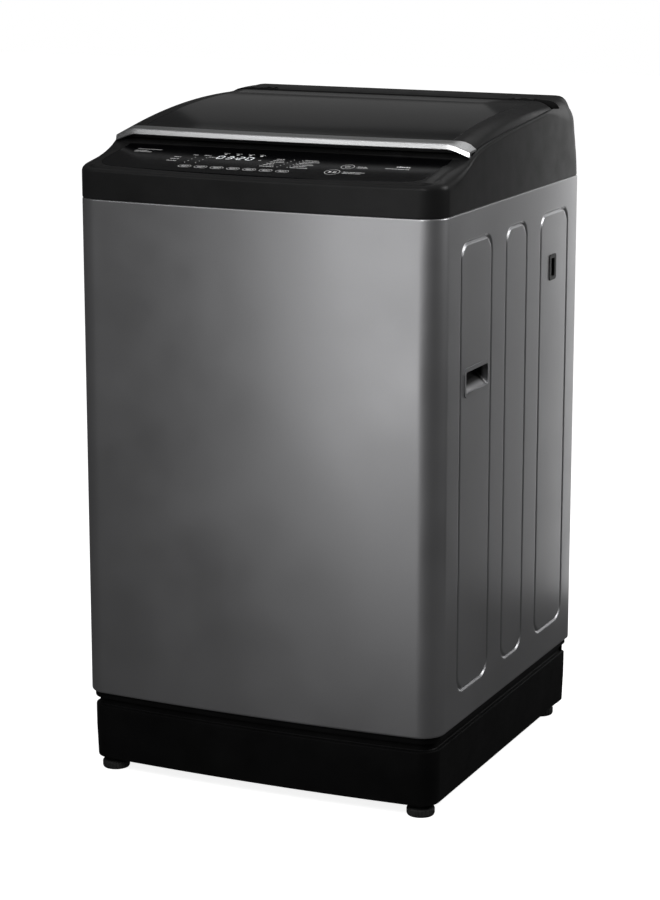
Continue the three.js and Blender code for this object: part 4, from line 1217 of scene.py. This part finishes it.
def mark_lists(marks):
    """The lists of settings and programmes, with a lamp beside each line."""
    for row in range(3):
        marks.words(-160 + 1.5 * row, 44 + row * 9.5, 15 - 2 * row, 2.4)
    for column, x in enumerate((-128, -110)):
        for row in range(4):
            marks.dot(x + row * 1.6, 40 + row * 8.6, 0.9)
        marks.words(x - 4, 76, 8 + column * 2, 2.2)
    for row in range(6):
        marks.words(-8 + row * 2.2, 40 + row * 7.2, 22 - (row % 3) * 5, 2.5)
        marks.dot(20 + row * 2.2, 41.2 + row * 7.2, 0.9)
        marks.dot(36 + row * 1.6, 41.2 + row * 7.2, 0.9)
        marks.words(40 + row * 1.6, 40 + row * 7.2, 26 - (row % 2) * 6, 2.5)


def mark_small_print(marks):
    """The signs over the display, its units and the lines at both ends of the panel."""
    for k, x in enumerate((-88, -68, -48, -30)):
        outline = arc(x + 4, 87, 2.6, 90 * (k % 2), 90 * (k % 2) + 360 - 360 / (3 + k), 2 + k)
        marks.shape(outline)
        marks.words(x - 1, 91.5, 9, 1.6, 1.1)
    marks.words(-104, 69, 10, 2.2)
    marks.words(-22, 66, 4, 2.4)
    marks.bar(-232, 92.5, 40, 1.0)
    marks.words(-232, 84, 20, 2.2)
    marks.words(-232, 79.6, 28, 2.0)
    marks.words(194, 68, 20, 5.0, 3.6)
    marks.words(180, 59.5, 36, 2.4)


def make_marks():
    marks = Marks()
    mark_keys(marks)
    mark_round_keys(marks)
    mark_lists(marks)
    mark_small_print(marks)
    marks.make("panel_marks", INK)


def make_digits():
    digits = Marks()
    for k, kind in enumerate("0320"):
        digit(digits, -91 + 14.6 * k + (3 if k > 1 else 0), 64.5, 10.6, 14.5, kind)
    digits.dot(-60.2, 68.6, 0.9)
    digits.dot(-59.4, 74.6, 0.9)
    digits.make("display_digits", DISPLAY_INK)


# ---- Lid ----
LID_ROWS = 13
LID_ARCH = 8.0
ARCH_START = 24.0
LID_HOLLOW = 5.6
STRIP_DEPTH = 26.0
STRIP_THICK = 3.0
STRIP_NOSE = 1.6
LIP_HEIGHT = 9.0
LIP_DEPTH = 6.0
GLASS_THICK = 4.0
GLASS_HALF = 248.5
WINDOW_HALF = 205.0
EAR_ROOM = 0.6
BEVEL_POWER = 1.25
RAIL_POWER = 3.0


def lid_section(share):
    """Inset and height of the lid's edge, over the bevel of its sides (0) or the round of its rear (1)."""
    bevel = LID_HALF - LID_FLAT_HALF
    rows = []
    for k in range(LID_ROWS):
        t = k / (LID_ROWS - 1)
        angle = math.pi / 2 * t
        inset = bevel * t * (1 - share) + HINGE_DROP * (1 - math.cos(angle)) * share
        z = top_at(LID_HALF - bevel * t, RAIL_POWER) * (1 - share) + HINGE_DROP * math.sin(angle) * share
        rows.append((inset, z))
    return rows


def lid_rear_stations(steps=16):
    """Stations from the right side's rear end round to the left one: x, y, normal x, normal y, share."""
    rear = HINGE_DROP - LID_CORNER
    cx = LID_HALF - LID_CORNER
    right = []
    for i in range(steps + 1):
        angle = math.pi / 2 * i / steps
        place = (cx + LID_CORNER * math.cos(angle), rear + LID_CORNER * math.sin(angle))
        right.append((*place, math.cos(angle), math.sin(angle), smoothstep(i / steps)))
    middle = [(cx - 2 * cx * i / 24, HINGE_DROP, 0.0, 1.0, 1.0) for i in range(1, 24)]
    return right + middle + [(-x, y, -nx, ny, share) for x, y, nx, ny, share in reversed(right)]


def ahead_of_lid(back, steps, reach):
    """Plan of what lies in front of the lid's front edge, moved back by back."""
    wide = LID_HALF + 5
    edge = bow(-wide, wide, -LID_LENGTH + back, LID_BOW, steps)
    return edge + [(wide, -LID_LENGTH - reach), (-wide, -LID_LENGTH - reach)]


def lid_block():
    """The lid as a solid: bevelled sides, round rear edge, running well past its front edge."""
    stations = lid_rear_stations()
    y_rear = HINGE_DROP - LID_CORNER
    y_front = -LID_LENGTH - 30
    sides = [(LID_HALF, y_front + (y_rear - y_front) * i / 16, 1.0, 0.0, 0.0) for i in range(16)]
    stations = sides + stations + [(-x, y, -nx, ny, share) for x, y, nx, ny, share in reversed(sides)]
    rings = [[(x, y, -LID_UNDER) for x, y, nx, ny, share in stations]]
    for k in range(LID_ROWS):
        ring = []
        for x, y, nx, ny, share in stations:
            inset, z = lid_section(share)[k]
            ring.append((x - inset * nx, y - inset * ny, z))
        rings.append(ring)
    body = loft("lid_body", rings, FRAME, LID_PLACE)
    return carve(body, prism(ahead_of_lid(0, 48, 60), -20, 40, place=LID_PLACE))


def top_at(x, power=BEVEL_POWER):
    """Height of the lid's top at a distance from its middle; a higher power makes its edge fuller."""
    bevel = LID_HALF - LID_FLAT_HALF
    t = min(max((LID_HALF - x) / bevel, 0.0), 1.0)
    return HINGE_DROP - BEVEL_DROP * (1 - t) ** power


def arch(thing, cuts=20, low=-LID_UNDER, high=LID_HOLLOW):
    """Bows a piece of the lid upwards along its length; its underside, below low, stays flat.

    The bow starts far enough from the hinge for the open lid to stand clear of the hood.
    """
    work = bmesh.new()
    work.from_mesh(thing.data)
    rear = LID_LENGTH - STRIP_DEPTH
    bowed = rear - ARCH_START
    across = LID_PLACE.to_3x3() @ Vector((0, 1, 0))
    for k in range(cuts):
        point = LID_PLACE @ Vector((0, -rear * (k + 0.5) / cuts, 0)) * MM
        everything = work.verts[:] + work.edges[:] + work.faces[:]
        bmesh.ops.bisect_plane(work, geom=everything, plane_co=point, plane_no=across, dist=1e-6)
    for vert in work.verts:
        place = LID_PLACE.inverted() @ (vert.co / MM)
        t = min(max((-place.y - ARCH_START) / bowed, 0.0), 1.0)
        place.z += LID_ARCH * 4 * t * (1 - t) * min(max((place.z - low) / (high - low), 0.0), 1.0)
        vert.co = LID_PLACE @ place * MM
    work.to_mesh(thing.data)
    work.free()
    return thing


def lid_curve(back, x):
    """How far back the lid's front edge is at x, moved back by back."""
    return -LID_LENGTH + back - LID_BOW * (1 - (x / LID_HALF) ** 2)


def strip_rings(grow, steps=72):
    """Cross-sections of the handle strip along X: a flat band with a rounded lip down its front.

    With grow they are those of the room cut for it in the lid: wider all round and open above.
    """
    cutter = grow > 0
    reach = LID_HALF + (3 if cutter else 0)
    above = 8.0 if cutter else 0.0
    rings = []
    for i in range(steps + 1):
        x = -reach + 2 * reach * i / steps
        base, rear_base = top_at(abs(x)), top_at(abs(x), RAIL_POWER)
        top, rear_top, foot = base + above, rear_base + above, base - LIP_HEIGHT
        y = lid_curve(0.0, x)
        back, lip = lid_curve(STRIP_DEPTH + grow, x), lid_curve(LIP_DEPTH + grow, x)
        if cutter:
            ring = [(y - 6.0, foot - grow), (y - 6.0, top - STRIP_NOSE), (back, rear_top)]
        else:
            ring = [(y + 0.8, foot), (y - 1.6, foot + 0.5), (y - 2.1, foot + 1.6)]
            ring += [(y - 0.1, top - STRIP_NOSE), (y + 0.45, top - 0.5), (y + STRIP_NOSE, top)]
            ring += [(back - 0.6, rear_top), (back, rear_top - 0.6)]
        under = STRIP_THICK + grow
        ring += [(back, rear_base - under), (lip, base - under), (lip, foot - grow)]
        rings.append([(x, py, pz) for py, pz in ring])
    return rings


def glass_outline(inset, steps=36):
    half = GLASS_HALF - inset
    y = -LID_LENGTH + STRIP_DEPTH + 0.6 + inset
    r = 3.0
    points = bow(-half, half, y, 0.875 * LID_BOW, steps)
    points += arc(half - r, -3 - inset - r, r, 0, 90, 5) + arc(-half + r, -3 - inset - r, r, 90, 180, 5)
    return points


def make_lid_body():
    body = lid_block()
    carve(body, loft("strip_room", strip_rings(GAP), FRAME, LID_PLACE))
    carve(body, prism(glass_outline(-GAP), HINGE_DROP - GLASS_THICK - GAP, HINGE_DROP + 8, place=LID_PLACE))
    hollow = [(-276, -10), (276, -10), (276, 0), (246, LID_HOLLOW), (-246, LID_HOLLOW), (-276, 0)]
    carve(body, front_prism(hollow, -LID_LENGTH + 34, -8, place=LID_PLACE))
    window = rounded(-WINDOW_HALF, WINDOW_HALF, -LID_LENGTH + 62, -46, 22)
    carve(body, prism(window, -20, 20, place=LID_PLACE))
    carve(body, prism(ahead_of_lid(22, 36, 40), -30, 3.5, place=LID_PLACE))
    for x0 in EARS:
        for y0, z0, z1 in ((-9, -10, 5.2), (-0.5, 5, 8.5)):
            room = block(x0 - EAR_ROOM, x0 + EAR_WIDTH + EAR_ROOM, y0, 20, z0, z1, place=LID_PLACE)
            carve(body, room)
    arch(body)
    soften(body, 0.4, 2, 40)
    shade(body, 30)
    wall = [(3.5, -LID_UNDER), (8, -LID_UNDER), (8, 6.5), (3.5, 6.5)]
    boss = turned("boss", wall, FRAME, 32, LID_PLACE @ at(LOCK_X, -320))
    merge("lid_body", body, shade(boss))
    settle(body, "lid", "frame_plastic", "lid_frame")


def make_strip():
    strip = loft("handle_strip", strip_rings(0.0), SILVER, LID_PLACE)
    settle(shade(strip, 40), "lid", "silver_trim", "lid_handle")


def make_glass():
    """The pane, and the printed border under it."""
    low, high = HINGE_DROP - GLASS_THICK, HINGE_DROP - 0.05
    glass = prism(glass_outline(0.0), low, high, GLASS, LID_PLACE, "glass_pane")
    soften(arch(glass), 0.5, 2, 40)
    settle(shade(glass, 25), "lid", "smoked_glass", "lid_glass")
    z = low - 0.12
    outer = glass_outline(0.6)
    inner = shrink_to(rounded(-WINDOW_HALF, WINDOW_HALF, -LID_LENGTH + 60, -44, 24, 10), outer)
    rings = [[(x, y, z) for x, y in outer], [(x, y, z) for x, y in inner]]
    border = loft("glass_border", rings, FRIT, LID_PLACE, caps=False)
    settle(arch(border), "lid", "smoked_glass")


def make_hinge_pins():
    for side, name in ((1, "right"), (-1, "left")):
        profile = [(0, 224), (2.1, 224), (2.5, 224.6), (2.5, 261.4), (2.1, 262), (0, 262)]
        pin = turned(f"hinge_pin_{name}", profile, STEEL, 24, LID_PLACE @ spun(side * 90, "Y"))
        settle(shade(pin), "lid", "steel_rod", f"lid_hinge_pin_{name}")


def shrink_to(target, source):
    """Points of the closed line target that lie in the same directions as those of source."""
    cx = sum(x for x, y in target) / len(target)
    cy = sum(y for x, y in target) / len(target)
    found = []
    for x, y in source:
        heading = math.atan2(y - cy, x - cx)
        best = None
        for (ax, ay), (bx, by) in zip(target, target[1:] + target[:1]):
            dx, dy = math.cos(heading), math.sin(heading)
            ex, ey = bx - ax, by - ay
            cross = dx * ey - dy * ex
            if abs(cross) < 1e-9:
                continue
            reach = ((ax - cx) * ey - (ay - cy) * ex) / cross
            share = ((ax - cx) * dy - (ay - cy) * dx) / cross
            if reach > 0 and -1e-6 <= share <= 1 + 1e-6:
                best = reach
        found.append((cx + best * math.cos(heading), cy + best * math.sin(heading)))
    return found


# ---- Back, valve, drawer and other small pieces ----
# X and Z of the pipes and the cord at the back.
INLET = (-178, 940)
OUTLET = (-150, 160)
GLAND = (-140, 850)


def make_back():
    """The zinc sheet at the back with its raised middle."""
    y = REAR_Y + GAP
    plan = rounded(-283, 283, CABINET_BOTTOM + 3, SEAM_Z - 3, 4, 4)
    sheet = front_prism(plan, y, y + 1, ZINC, name="back_sheet")
    rings = []
    for inset, out in ((0, 1.0), (1.2, 1.2), (4.5, 3.1), (6.0, 3.4), (20.0, 3.4)):
        half = 230 - inset
        outline = rounded(-half, half, 260 + inset, 780 - inset, 40 - inset * 0.6, 8)
        rings.append([(x, y + out, z) for x, z in outline])
    boss = loft("boss", rings, ZINC, caps=False)
    fill = loft("fill", [rings[-1], [(x * 0.5, py, 520 + (z - 520) * 0.5) for x, py, z in rings[-1]]], ZINC)
    carve(sheet, pipe_cutter(*GLAND, 9.6), pipe_cutter(*OUTLET, 17.2))
    merge("back_sheet", shade(sheet), shade(boss, 20), fill)
    settle(sheet, "cabinet", "zinc_sheet", "rear_panel")


def make_back_screws():
    places = [(x, z) for x in (-270, 270) for z in (150, 330, 510, 690, 860)]
    places += [(x, 868) for x in (-150, 60, 200)]
    screws = [screw_head(x, REAR_Y + GAP + 1, z) for x, z in places]
    merge("back_screws", *screws)
    settle(screws[0], "cabinet", "steel_rod")


def make_hood_cover():
    y = REAR_Y + GAP
    cover = front_prism(rounded(-230, 230, 892, 980, 10), y, y + 2, FRAME, name="hood_back_cover")
    carve(cover, pipe_cutter(*INLET, 14))
    soften(cover, 0.6, 2, 40)
    settle(shade(cover), "cabinet", "frame_plastic", "hood_cover")


def pipe_cutter(x, z, radius):
    return bore(radius, 0, 40, facing_back(x, 265, z))


def screw_head(x, y, z):
    """A pan head with a cross recess, on the back."""
    profile = [(0, 0), (4.2, 0), (4.0, 1.0), (2.8, 1.9), (0, 2.2)]
    head = turned("head", profile, STEEL, 24, facing_back(x, y, z))
    for across in ((0.45, 2.0), (2.0, 0.45)):
        carve(head, block(x - across[0], x + across[0], y + 1.2, y + 4, z - across[1], z + across[1]))
    return shade(head)


def make_inlet_valve():
    x, z = INLET
    place = facing_back(x, 250, z)
    valve = turned(
        "valve_nozzle",
        [(9, 20), (11, 20), (11, 30), (13.2, 31), (13.2, 33)]
        + [(13.2 - 0.9 * (k % 2), 34 + k * 1.4) for k in range(8)]
        + [(12.6, 46.5), (9, 47)],
        WHITE_PLASTIC, 48, place,
    )
    body = soften(block(x - 20, x + 20, 236, 280, z - 16, z + 16, WHITE_PLASTIC), 2.0, 3)
    coil = soften(block(x - 12, x + 12, 238, 262, z + 15, z + 30, RUBBER), 1.5, 2)
    screen = turned("screen", [(0, 36), (9, 36), (9, 37), (0, 37)], STEEL, 32, place)
    merge("inlet_valve_body", shade(body), shade(valve), shade(coil), shade(screen))
    settle(body, "cabinet", "white_plastic", "inlet_valve")


def make_drain_outlet():
    outlet = turned(
        "drain_spigot",
        [(12, 0), (15, 0), (15, 6), (21, 7), (21, 13.6), (15.2, 13.9), (15, 18), (16, 19), (16, 20.5),
         (15, 21.5), (14.4, 23), (12, 23)],
        FRAME, 48, facing_back(OUTLET[0], 274, OUTLET[1]),
    )
    settle(shade(outlet), "cabinet", "frame_plastic", "drain_outlet")


def make_cord_gland():
    gland = turned(
        "cord_gland",
        [(4.3, 0), (13, 0), (13, 6.8), (9.2, 7.0), (9.2, 9.2), (13, 9.4), (13, 10.6), (12, 11.2), (8, 11.6),
         (7.6, 15), (4.3, 15)],
        RUBBER, 40, facing_back(GLAND[0], 281, GLAND[1]),
    )
    settle(shade(gland), "cabinet", "frame_plastic", "power_cord_gland")


def make_drawer():
    x0, x1, y0, y1, z0, z1 = DRAWER
    tray = block(x0, x1, y0, y1, z0, z1, LIGHT_PLASTIC)
    carve(tray, block(x0 + 2.5, x0 + 60, y0 + 3, y1 - 2.5, z0 + 2.5, z1 + 9))
    carve(tray, block(x0 + 62.5, x1 - 2.5, y0 + 3, y1 - 2.5, z0 + 2.5, z1 + 9))
    lip = block(x0 + 25, x1 - 25, y0 - 9, y0 + 1, z1 - 5, z1 - 2, LIGHT_PLASTIC)
    carve(tray, lip, operation="UNION")
    soften(tray, 0.8, 3, 40)
    tray.name = "detergent_tray"
    settle(shade(tray), "drawer", "light_plastic", "detergent_drawer")


# ---- Tub, basket and drive ----
def tub_ribs():
    """Stiffening ribs under the tub's floor, long and short by turns."""
    for k in range(24):
        start, end, low = (92, TUB_RADIUS - 14, 245.5) if k % 2 else (196, TUB_RADIUS - 12, 244)
        yield block(start, end, -1.5, 1.5, low, 250.5, WHITE_PLASTIC, spun(15 * k))


def tub_lugs():
    """The lugs at the tub's corners that the suspension springs carry."""
    for k in range(4):
        turn = spun(45 + 90 * k)
        lug = soften(block(TUB_RADIUS - 2, 332, -20, 20, 350, 364, WHITE_PLASTIC, turn), 3, 3)
        yield shade(carve(lug, bore(7, 340, 380, turn @ at(ROD_XY * math.sqrt(2), 0), 32)))


def make_tub():
    r = TUB_RADIUS
    shell = turned(
        "tub_shell",
        [(26.3, 250), (60, 250), (r - 16, 250), (r - 6, 253), (r, 262), (r, 268), (r - 1, 270), (r - 1, 520),
         (r, 523), (r, 527), (r - 1, 530), (r - 1, 780), (r, 783), (r, 800), (r - 3, 800), (r - 3, 266),
         (r - 18, 254), (40, 254), (36, 278), (26.3, 278)],
        WHITE_PLASTIC, 120,
    )
    merge("tub_shell", shade(shell, 25), *tub_ribs(), *tub_lugs())
    settle(shell, "tub", "white_plastic", "outer_tub")


def make_tub_cover():
    cover = turned(
        "tub_rim",
        [(212, 800.3), (266, 800.3), (266, 812), (265, 814), (258, 818), (240, 816.6), (216, 810),
         (213, 808.6), (212, 806)],
        WHITE_PLASTIC, 120,
    )
    settle(shade(cover, 25), "tub", "white_plastic", "tub_cover")


BASKET_LOW = 294
BASKET_HIGH = 741.7
BASKET_SHEET = 1.2
DENTS = 18
DENT_DEPTH = 1.1


def make_basket_wall():
    """The perforated drum with shallow upright dents that fade out at both ends."""
    steps, rows = 144, 60
    rings = []
    heights = [BASKET_LOW + (BASKET_HIGH - BASKET_LOW) * k / rows for k in range(rows + 1)]
    for side in (0.0, -BASKET_SHEET):
        for z in heights if side == 0.0 else reversed(heights):
            ring = []
            for i in range(steps):
                angle = 2 * math.pi * i / steps
                band = smoothstep((z - 320) / 25) * smoothstep((720 - z) / 25)
                dent = -DENT_DEPTH * band * max(0.0, math.cos(angle * DENTS)) ** 3
                radius = BASKET_RADIUS + side + dent
                ring.append((radius * math.cos(angle), radius * math.sin(angle), z))
            rings.append(ring)
    wall = loft("basket_wall", rings, BASKET, wrap=True)
    settle(shade(wall, 40), "basket", "stainless", "wash_basket")


def make_basket_floor():
    r = BASKET_RADIUS
    base = turned(
        "basket_floor",
        [(14.3, 282), (40, 282), (60, 286), (r, 286), (r, 293.7), (r - 6, 293.7), (r - 10, 291), (176, 291),
         (172, 293), (168, 291), (30, 291), (30, 295), (14.3, 295)],
        LIGHT_PLASTIC, 96,
    )
    settle(shade(base, 25), "basket", "light_plastic", "basket_base")


def make_balance_ring():
    ring = turned(
        "balance_rim",
        [(210, 742), (242, 742), (244, 745), (244, 782), (243, 787), (237, 792), (228, 794), (214, 793.4),
         (208, 790), (205.4, 784), (205, 776), (205, 749), (206.4, 744)],
        LIGHT_PLASTIC, 144,
    )
    seam = [(205.2, 766.5), (204.9, 766.8), (204.9, 767.6), (205.2, 767.9)]
    merge("balance_rim", shade(ring, 25), turned("seam_line", seam, LIGHT_PLASTIC, 144))
    settle(ring, "basket", "light_plastic", "balance_ring")


def make_filter(side, name):
    """Lint cassette: a frame with a window of fine mesh behind bars."""
    back = arc(0, 0, BASKET_RADIUS - 1.8, -9.6, 9.6, 14)
    plan = back + [(214, 40), (212.2, 30), (212, 0), (212.2, -30), (214, -40)]
    body = prism(plan, 480, 640, WHITE_PLASTIC)
    mask = side_prism(rounded(-40, 40, 480, 640, 14), 200, 245)
    carve(body, mask, operation="INTERSECT")
    for k in range(6):
        carve(body, side_prism(rounded(-29, 29, 497 + k * 17, 509 + k * 17, 3, 4), 205, 216))
    soften(body, 0.8, 2, 40)
    shade(body)
    net = side_prism(rounded(-31, 31, 494, 600, 4, 4), 215.2, 216.4, RUBBER)
    merge("lint_cassette", body, net)
    body.data.transform(Matrix.Diagonal((side, 1, 1, 1)))
    if side < 0:
        body.data.flip_normals()
    body.name = f"lint_cassette_{name}"
    settle(body, "basket", "white_plastic", f"lint_filter_{name}")


PULSATOR_RADIUS = 164
VANES = 5
VANE_HEIGHT = 24
VANE_LEAN = 0.0028


def make_pulsator():
    """A dished disc with five rounded vanes that lean as they run outwards."""
    dish = ((0, 342), (26, 340), (44, 326), (60, 313), (120, 307.5), (156, 307.8), (161, 306), (164, 303))
    radii = [8 + (PULSATOR_RADIUS - 8) * (k / 44) ** 0.85 for k in range(45)]
    steps = 180
    headings = [2 * math.pi * i / steps for i in range(steps)]
    rings = [[(r * math.cos(a), r * math.sin(a), 298.0) for a in headings] for r in (7.4, 158)]
    top = []
    for r in radii:
        ring = []
        for angle in headings:
            vane = max(0.0, math.cos(VANES * (angle - VANE_LEAN * r))) ** 5
            lift = VANE_HEIGHT * vane * smoothstep((r - 26) / 34) * smoothstep((158 - r) / 70)
            ring.append((r * math.cos(angle), r * math.sin(angle), along(dish, r) + lift))
        top.append(ring)
    rings += list(reversed(top))
    disc = loft("pulsator_disc", rings, LIGHT_PLASTIC, wrap=True)
    settle(shade(disc, 40), "pulsator", "light_plastic", "pulsator")
    head = [(0, 342.3), (14, 342.3), (14, 343.6), (9.4, 344), (9, 349.4), (8, 350), (0, 350)]
    cap = turned("pulsator_bolt", head, STAINLESS, 48)
    settle(shade(cap), "pulsator", "stainless", "pulsator_screw")


MOTOR_X = 165
MOTOR_PLACE = at(MOTOR_X, 0)
BELT_Z = 148


def make_clutch():
    """The clutch housing under the tub's middle, with its cooling fins."""
    housing = turned(
        "clutch_case",
        [(14.4, 164), (30, 164), (30, 184), (62, 185.4), (68, 187.6), (72, 194), (72, 228), (68, 232.6),
         (64, 234), (86, 236), (86, 244.4), (14.4, 244.4)],
        CAST, 72,
    )
    fins = [block(66, 84, -1.6, 1.6, 200, 238, CAST, spun(45 * k)) for k in range(8)]
    merge("clutch_case", shade(housing, 28), *fins)
    settle(housing, "tub", "drive_metal", "clutch_housing")


def make_motor():
    case = turned(
        "motor_case",
        [(6.6, 164), (20, 164), (22, 170), (50, 171.4), (56, 174), (58, 180), (58, 186), (55, 187),
         (55, 223), (58, 224), (58, 230), (54, 236), (50, 238), (20, 240), (20, 244.4), (6.6, 244.4)],
        CAST, 72, MOTOR_PLACE,
    )
    fins = [block(54.4, 57.4, -1.4, 1.4, 188, 222, CAST, MOTOR_PLACE @ spun(10 * k)) for k in range(36)]
    merge("motor_case", shade(case, 28), *fins)
    settle(case, "tub", "drive_metal", "drive_motor")


def make_pulleys():
    """Both V pulleys; the big one has holes in its web."""
    for name, rim, inner, where, body in (
        ("drive_pulley", 70, 7.3, HERE, "drive_pulley"),
        ("motor_pulley", 20, 6.3, MOTOR_PLACE, "motor_rotor"),
    ):
        hub = max(inner + 4, 12)
        wheel = turned(
            f"{name}_wheel",
            [(inner, 140), (hub, 139.4), (rim - 3, 138), (rim - 1, 138.4), (rim, 140), (rim - 6.8, 144.2),
             (rim - 7, 144.8), (rim - 7, 151.2), (rim - 6.8, 151.8), (rim, 156), (rim - 1, 157.6),
             (rim - 3, 158), (hub, 158), (inner, 158)],
            CAST, 72, where,
        )
        if rim > 40:
            for k in range(5):
                carve(wheel, bore(11, 130, 165, spun(72 * k) @ at(36, 0), 32))
        settle(shade(wheel, 30), body, "drive_metal", name)


def make_shafts():
    for name, r, z0, z1, where, body in (
        ("reducer_input_shaft", 7, 130, 203, HERE, "drive_pulley"),
        ("motor_shaft", 6, 132, 242, MOTOR_PLACE, "motor_rotor"),
        ("pulsator_shaft", 7, 206, 340, HERE, "pulsator"),
    ):
        profile = [(0, z0), (r - 1, z0), (r, z0 + 1), (r, z1 - 1), (r - 1, z1), (0, z1)]
        shaft = turned(f"{name}_bar", profile, STEEL, 32, where)
        settle(shade(shaft), body, "steel_rod", name)
    sleeve = turned("spin_shaft_tube", [(7.6, 204), (14, 204), (14, 296), (7.6, 296)], STEEL, 40)
    settle(shade(sleeve), "basket", "steel_rod", "spin_shaft")


def make_drive_plate():
    """The steel plate under the tub that carries the clutch and the motor."""
    plate = prism(rounded(-115, 240, -100, 100, 30), 244.7, 249.7, ZINC, name="drive_plate")
    carve(plate, bore(24, 240, 255, sides=48))
    carve(plate, bore(14, 240, 255, MOTOR_PLACE, 48))
    soften(plate, 0.8, 2)
    settle(shade(plate), "tub", "zinc_sheet", "chassis_plate")


def make_capacitor():
    profile = [(0, 176), (16.5, 176), (18, 177.5), (18, 242), (17, 244), (0, 244)]
    can = turned("run_capacitor", profile, WHITE_PLASTIC, 48, at(88, -76))
    settle(shade(can), "tub", "white_plastic", "motor_capacitor")


def make_belt():
    """V belt: its section runs round both pulley grooves."""
    big, small = 66.2, 16.2
    lean = math.degrees(math.asin((big - small) / MOTOR_X))
    loop = arc(0, 0, big, 90 - lean, 270 + lean, 60) + arc(MOTOR_X, 0, small, -90 + lean, 90 - lean, 30)
    section = ((-2.6, -2.6), (2.4, -3.4), (2.8, -3.0), (2.8, 3.0), (2.4, 3.4), (-2.6, 2.6))
    count = len(loop)
    rings = []
    for i, (x, y) in enumerate(loop):
        ahead = Vector(loop[(i + 1) % count]) - Vector(loop[i - 1])
        out = Vector((ahead.y, -ahead.x)).normalized()
        rings.append([(x + out.x * d, y + out.y * d, BELT_Z + z) for d, z in section])
    belt = loft("v_belt", rings, RUBBER, wrap=True)
    settle(shade(belt, 30), "tub", "black_rubber", "drive_belt")


HOSE_X = -150
HOSE_START = (167, 222)
HOSE_END = (266, 166)
HOSE_STEPS = 48


def make_drain():
    """The drain valve with its actuator, and the ribbed hose from it to the outlet in the back."""
    profile = [(0, 206), (20, 206), (24, 209), (24, 226), (22, 228), (22, 249.7), (0, 249.7)]
    valve = turned("valve", profile, FRAME, 40, at(HOSE_X, 120))
    profile = [(0, 18), (14, 18), (14, 42), (15, 43), (14, 46), (0, 46)]
    outlet = turned("stub", profile, FRAME, 32, facing_back(HOSE_X, 120, HOSE_START[1]))
    actuator = soften(block(-228, -170, 106, 134, 210, 238, FRAME), 2, 2)
    merge("drain_valve_body", shade(valve), shade(outlet), shade(actuator))
    settle(valve, "tub", "frame_plastic", "drain_valve")
    (y0, z0), (y1, z1) = HOSE_START, HOSE_END
    across = Vector((1, 0, 0))
    points = []
    for k in range(HOSE_STEPS + 1):
        t = k / HOSE_STEPS
        points.append(Vector((HOSE_X, y0 + (y1 - y0) * t, z0 + (z1 - z0) * smoothstep((t - 0.08) / 0.84))))
    rings = []
    for k, point in enumerate(points):
        cuff = k < 4 or k > HOSE_STEPS - 4
        radius = 14.0 if cuff else 13.0 + 1.6 * (k % 2)
        ahead = (points[min(k + 1, HOSE_STEPS)] - points[max(k - 1, 0)]).normalized()
        up = across.cross(ahead)
        rings.append([tuple(point + across * a + up * b) for a, b in arc(0, 0, radius, 0, 345, 23)])
    hose = shade(loft("inner_hose", rings, RUBBER), 60)
    ends = [(HOSE_X, *HOSE_START), (HOSE_X, *HOSE_END)]
    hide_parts("inner_drain_hose")
    tuple(c * MM for c in ends[0])
    tuple(c * MM for c in ends[1])
    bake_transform(hose)


SPRING_TURNS = 6
SPRING_RADIUS = 10
SPRING_LOW = 302.6
SPRING_HIGH = 347.4


def make_suspension():
    """Four rods hung from the brackets, each with a spring that carries one of the tub's lugs."""
    profile = [
        (0, 292), (12, 292), (15, 295), (15, 299.7), (4, 299.7), (4, 848.3), (10, 848.3), (11.4, 851),
        (11, 854), (8, 859), (0, 860.3),
    ]
    for sx, sy, name in CORNERS:
        x, y = sx * ROD_XY, sy * ROD_XY
        rod = turned(f"hanger_rod_{name}", profile, STEEL, 32, at(x, y))
        settle(shade(rod), "cabinet", "steel_rod", f"suspension_rod_{name}")
        count = SPRING_TURNS * 26
        path = []
        for i in range(count + 1):
            angle = 2 * math.pi * SPRING_TURNS * i / count
            z = SPRING_LOW + (SPRING_HIGH - SPRING_LOW) * i / count
            path.append((x + SPRING_RADIUS * math.cos(angle), y + SPRING_RADIUS * math.sin(angle), z))
        spring = shade(tube(f"coil_spring_{name}", path, 1.9, STEEL, 10), 60)
        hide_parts(f"suspension_spring_{name}")
        point, low, high = (x * MM, y * MM), SPRING_LOW, SPRING_HIGH
        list(point)
        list(point)
        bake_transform(spring)


def dress_plain_nodes():
    """Hidden nodes that keep their own shape get their materials."""
    looks = {
        "control_board": BOARD, "pressure_sensor": WHITE_PLASTIC, "lid_lock": WHITE_PLASTIC,
        "lid_lock_bolt": STEEL, "main_bearing": STEEL, "shaft_seal": RUBBER,
    }
    for name, material in looks.items():
        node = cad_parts[name]
        node.data.materials.clear()
        node.data.materials.append(material)


add_camera()
add_studio()
make_cabinet()
make_brackets()
side_handle(1, "right")
side_handle(-1, "left")
make_hook_socket()
make_skirt()
for corner_x, corner_y, corner_name in CORNERS:
    make_foot(corner_name, corner_x, corner_y)
make_top_frame()
make_panel()
make_marks()
make_digits()
make_lid_body()
make_strip()
make_glass()
make_hinge_pins()
make_back()
make_back_screws()
make_hood_cover()
make_inlet_valve()
make_drain_outlet()
make_cord_gland()
make_drawer()
make_tub()
make_tub_cover()
make_basket_wall()
make_basket_floor()
make_balance_ring()
make_filter(1, "right")
make_filter(-1, "left")
make_pulsator()
make_clutch()
make_motor()
make_pulleys()
make_shafts()
make_belt()
make_drive_plate()
make_capacitor()
make_drain()
make_suspension()
dress_plain_nodes()
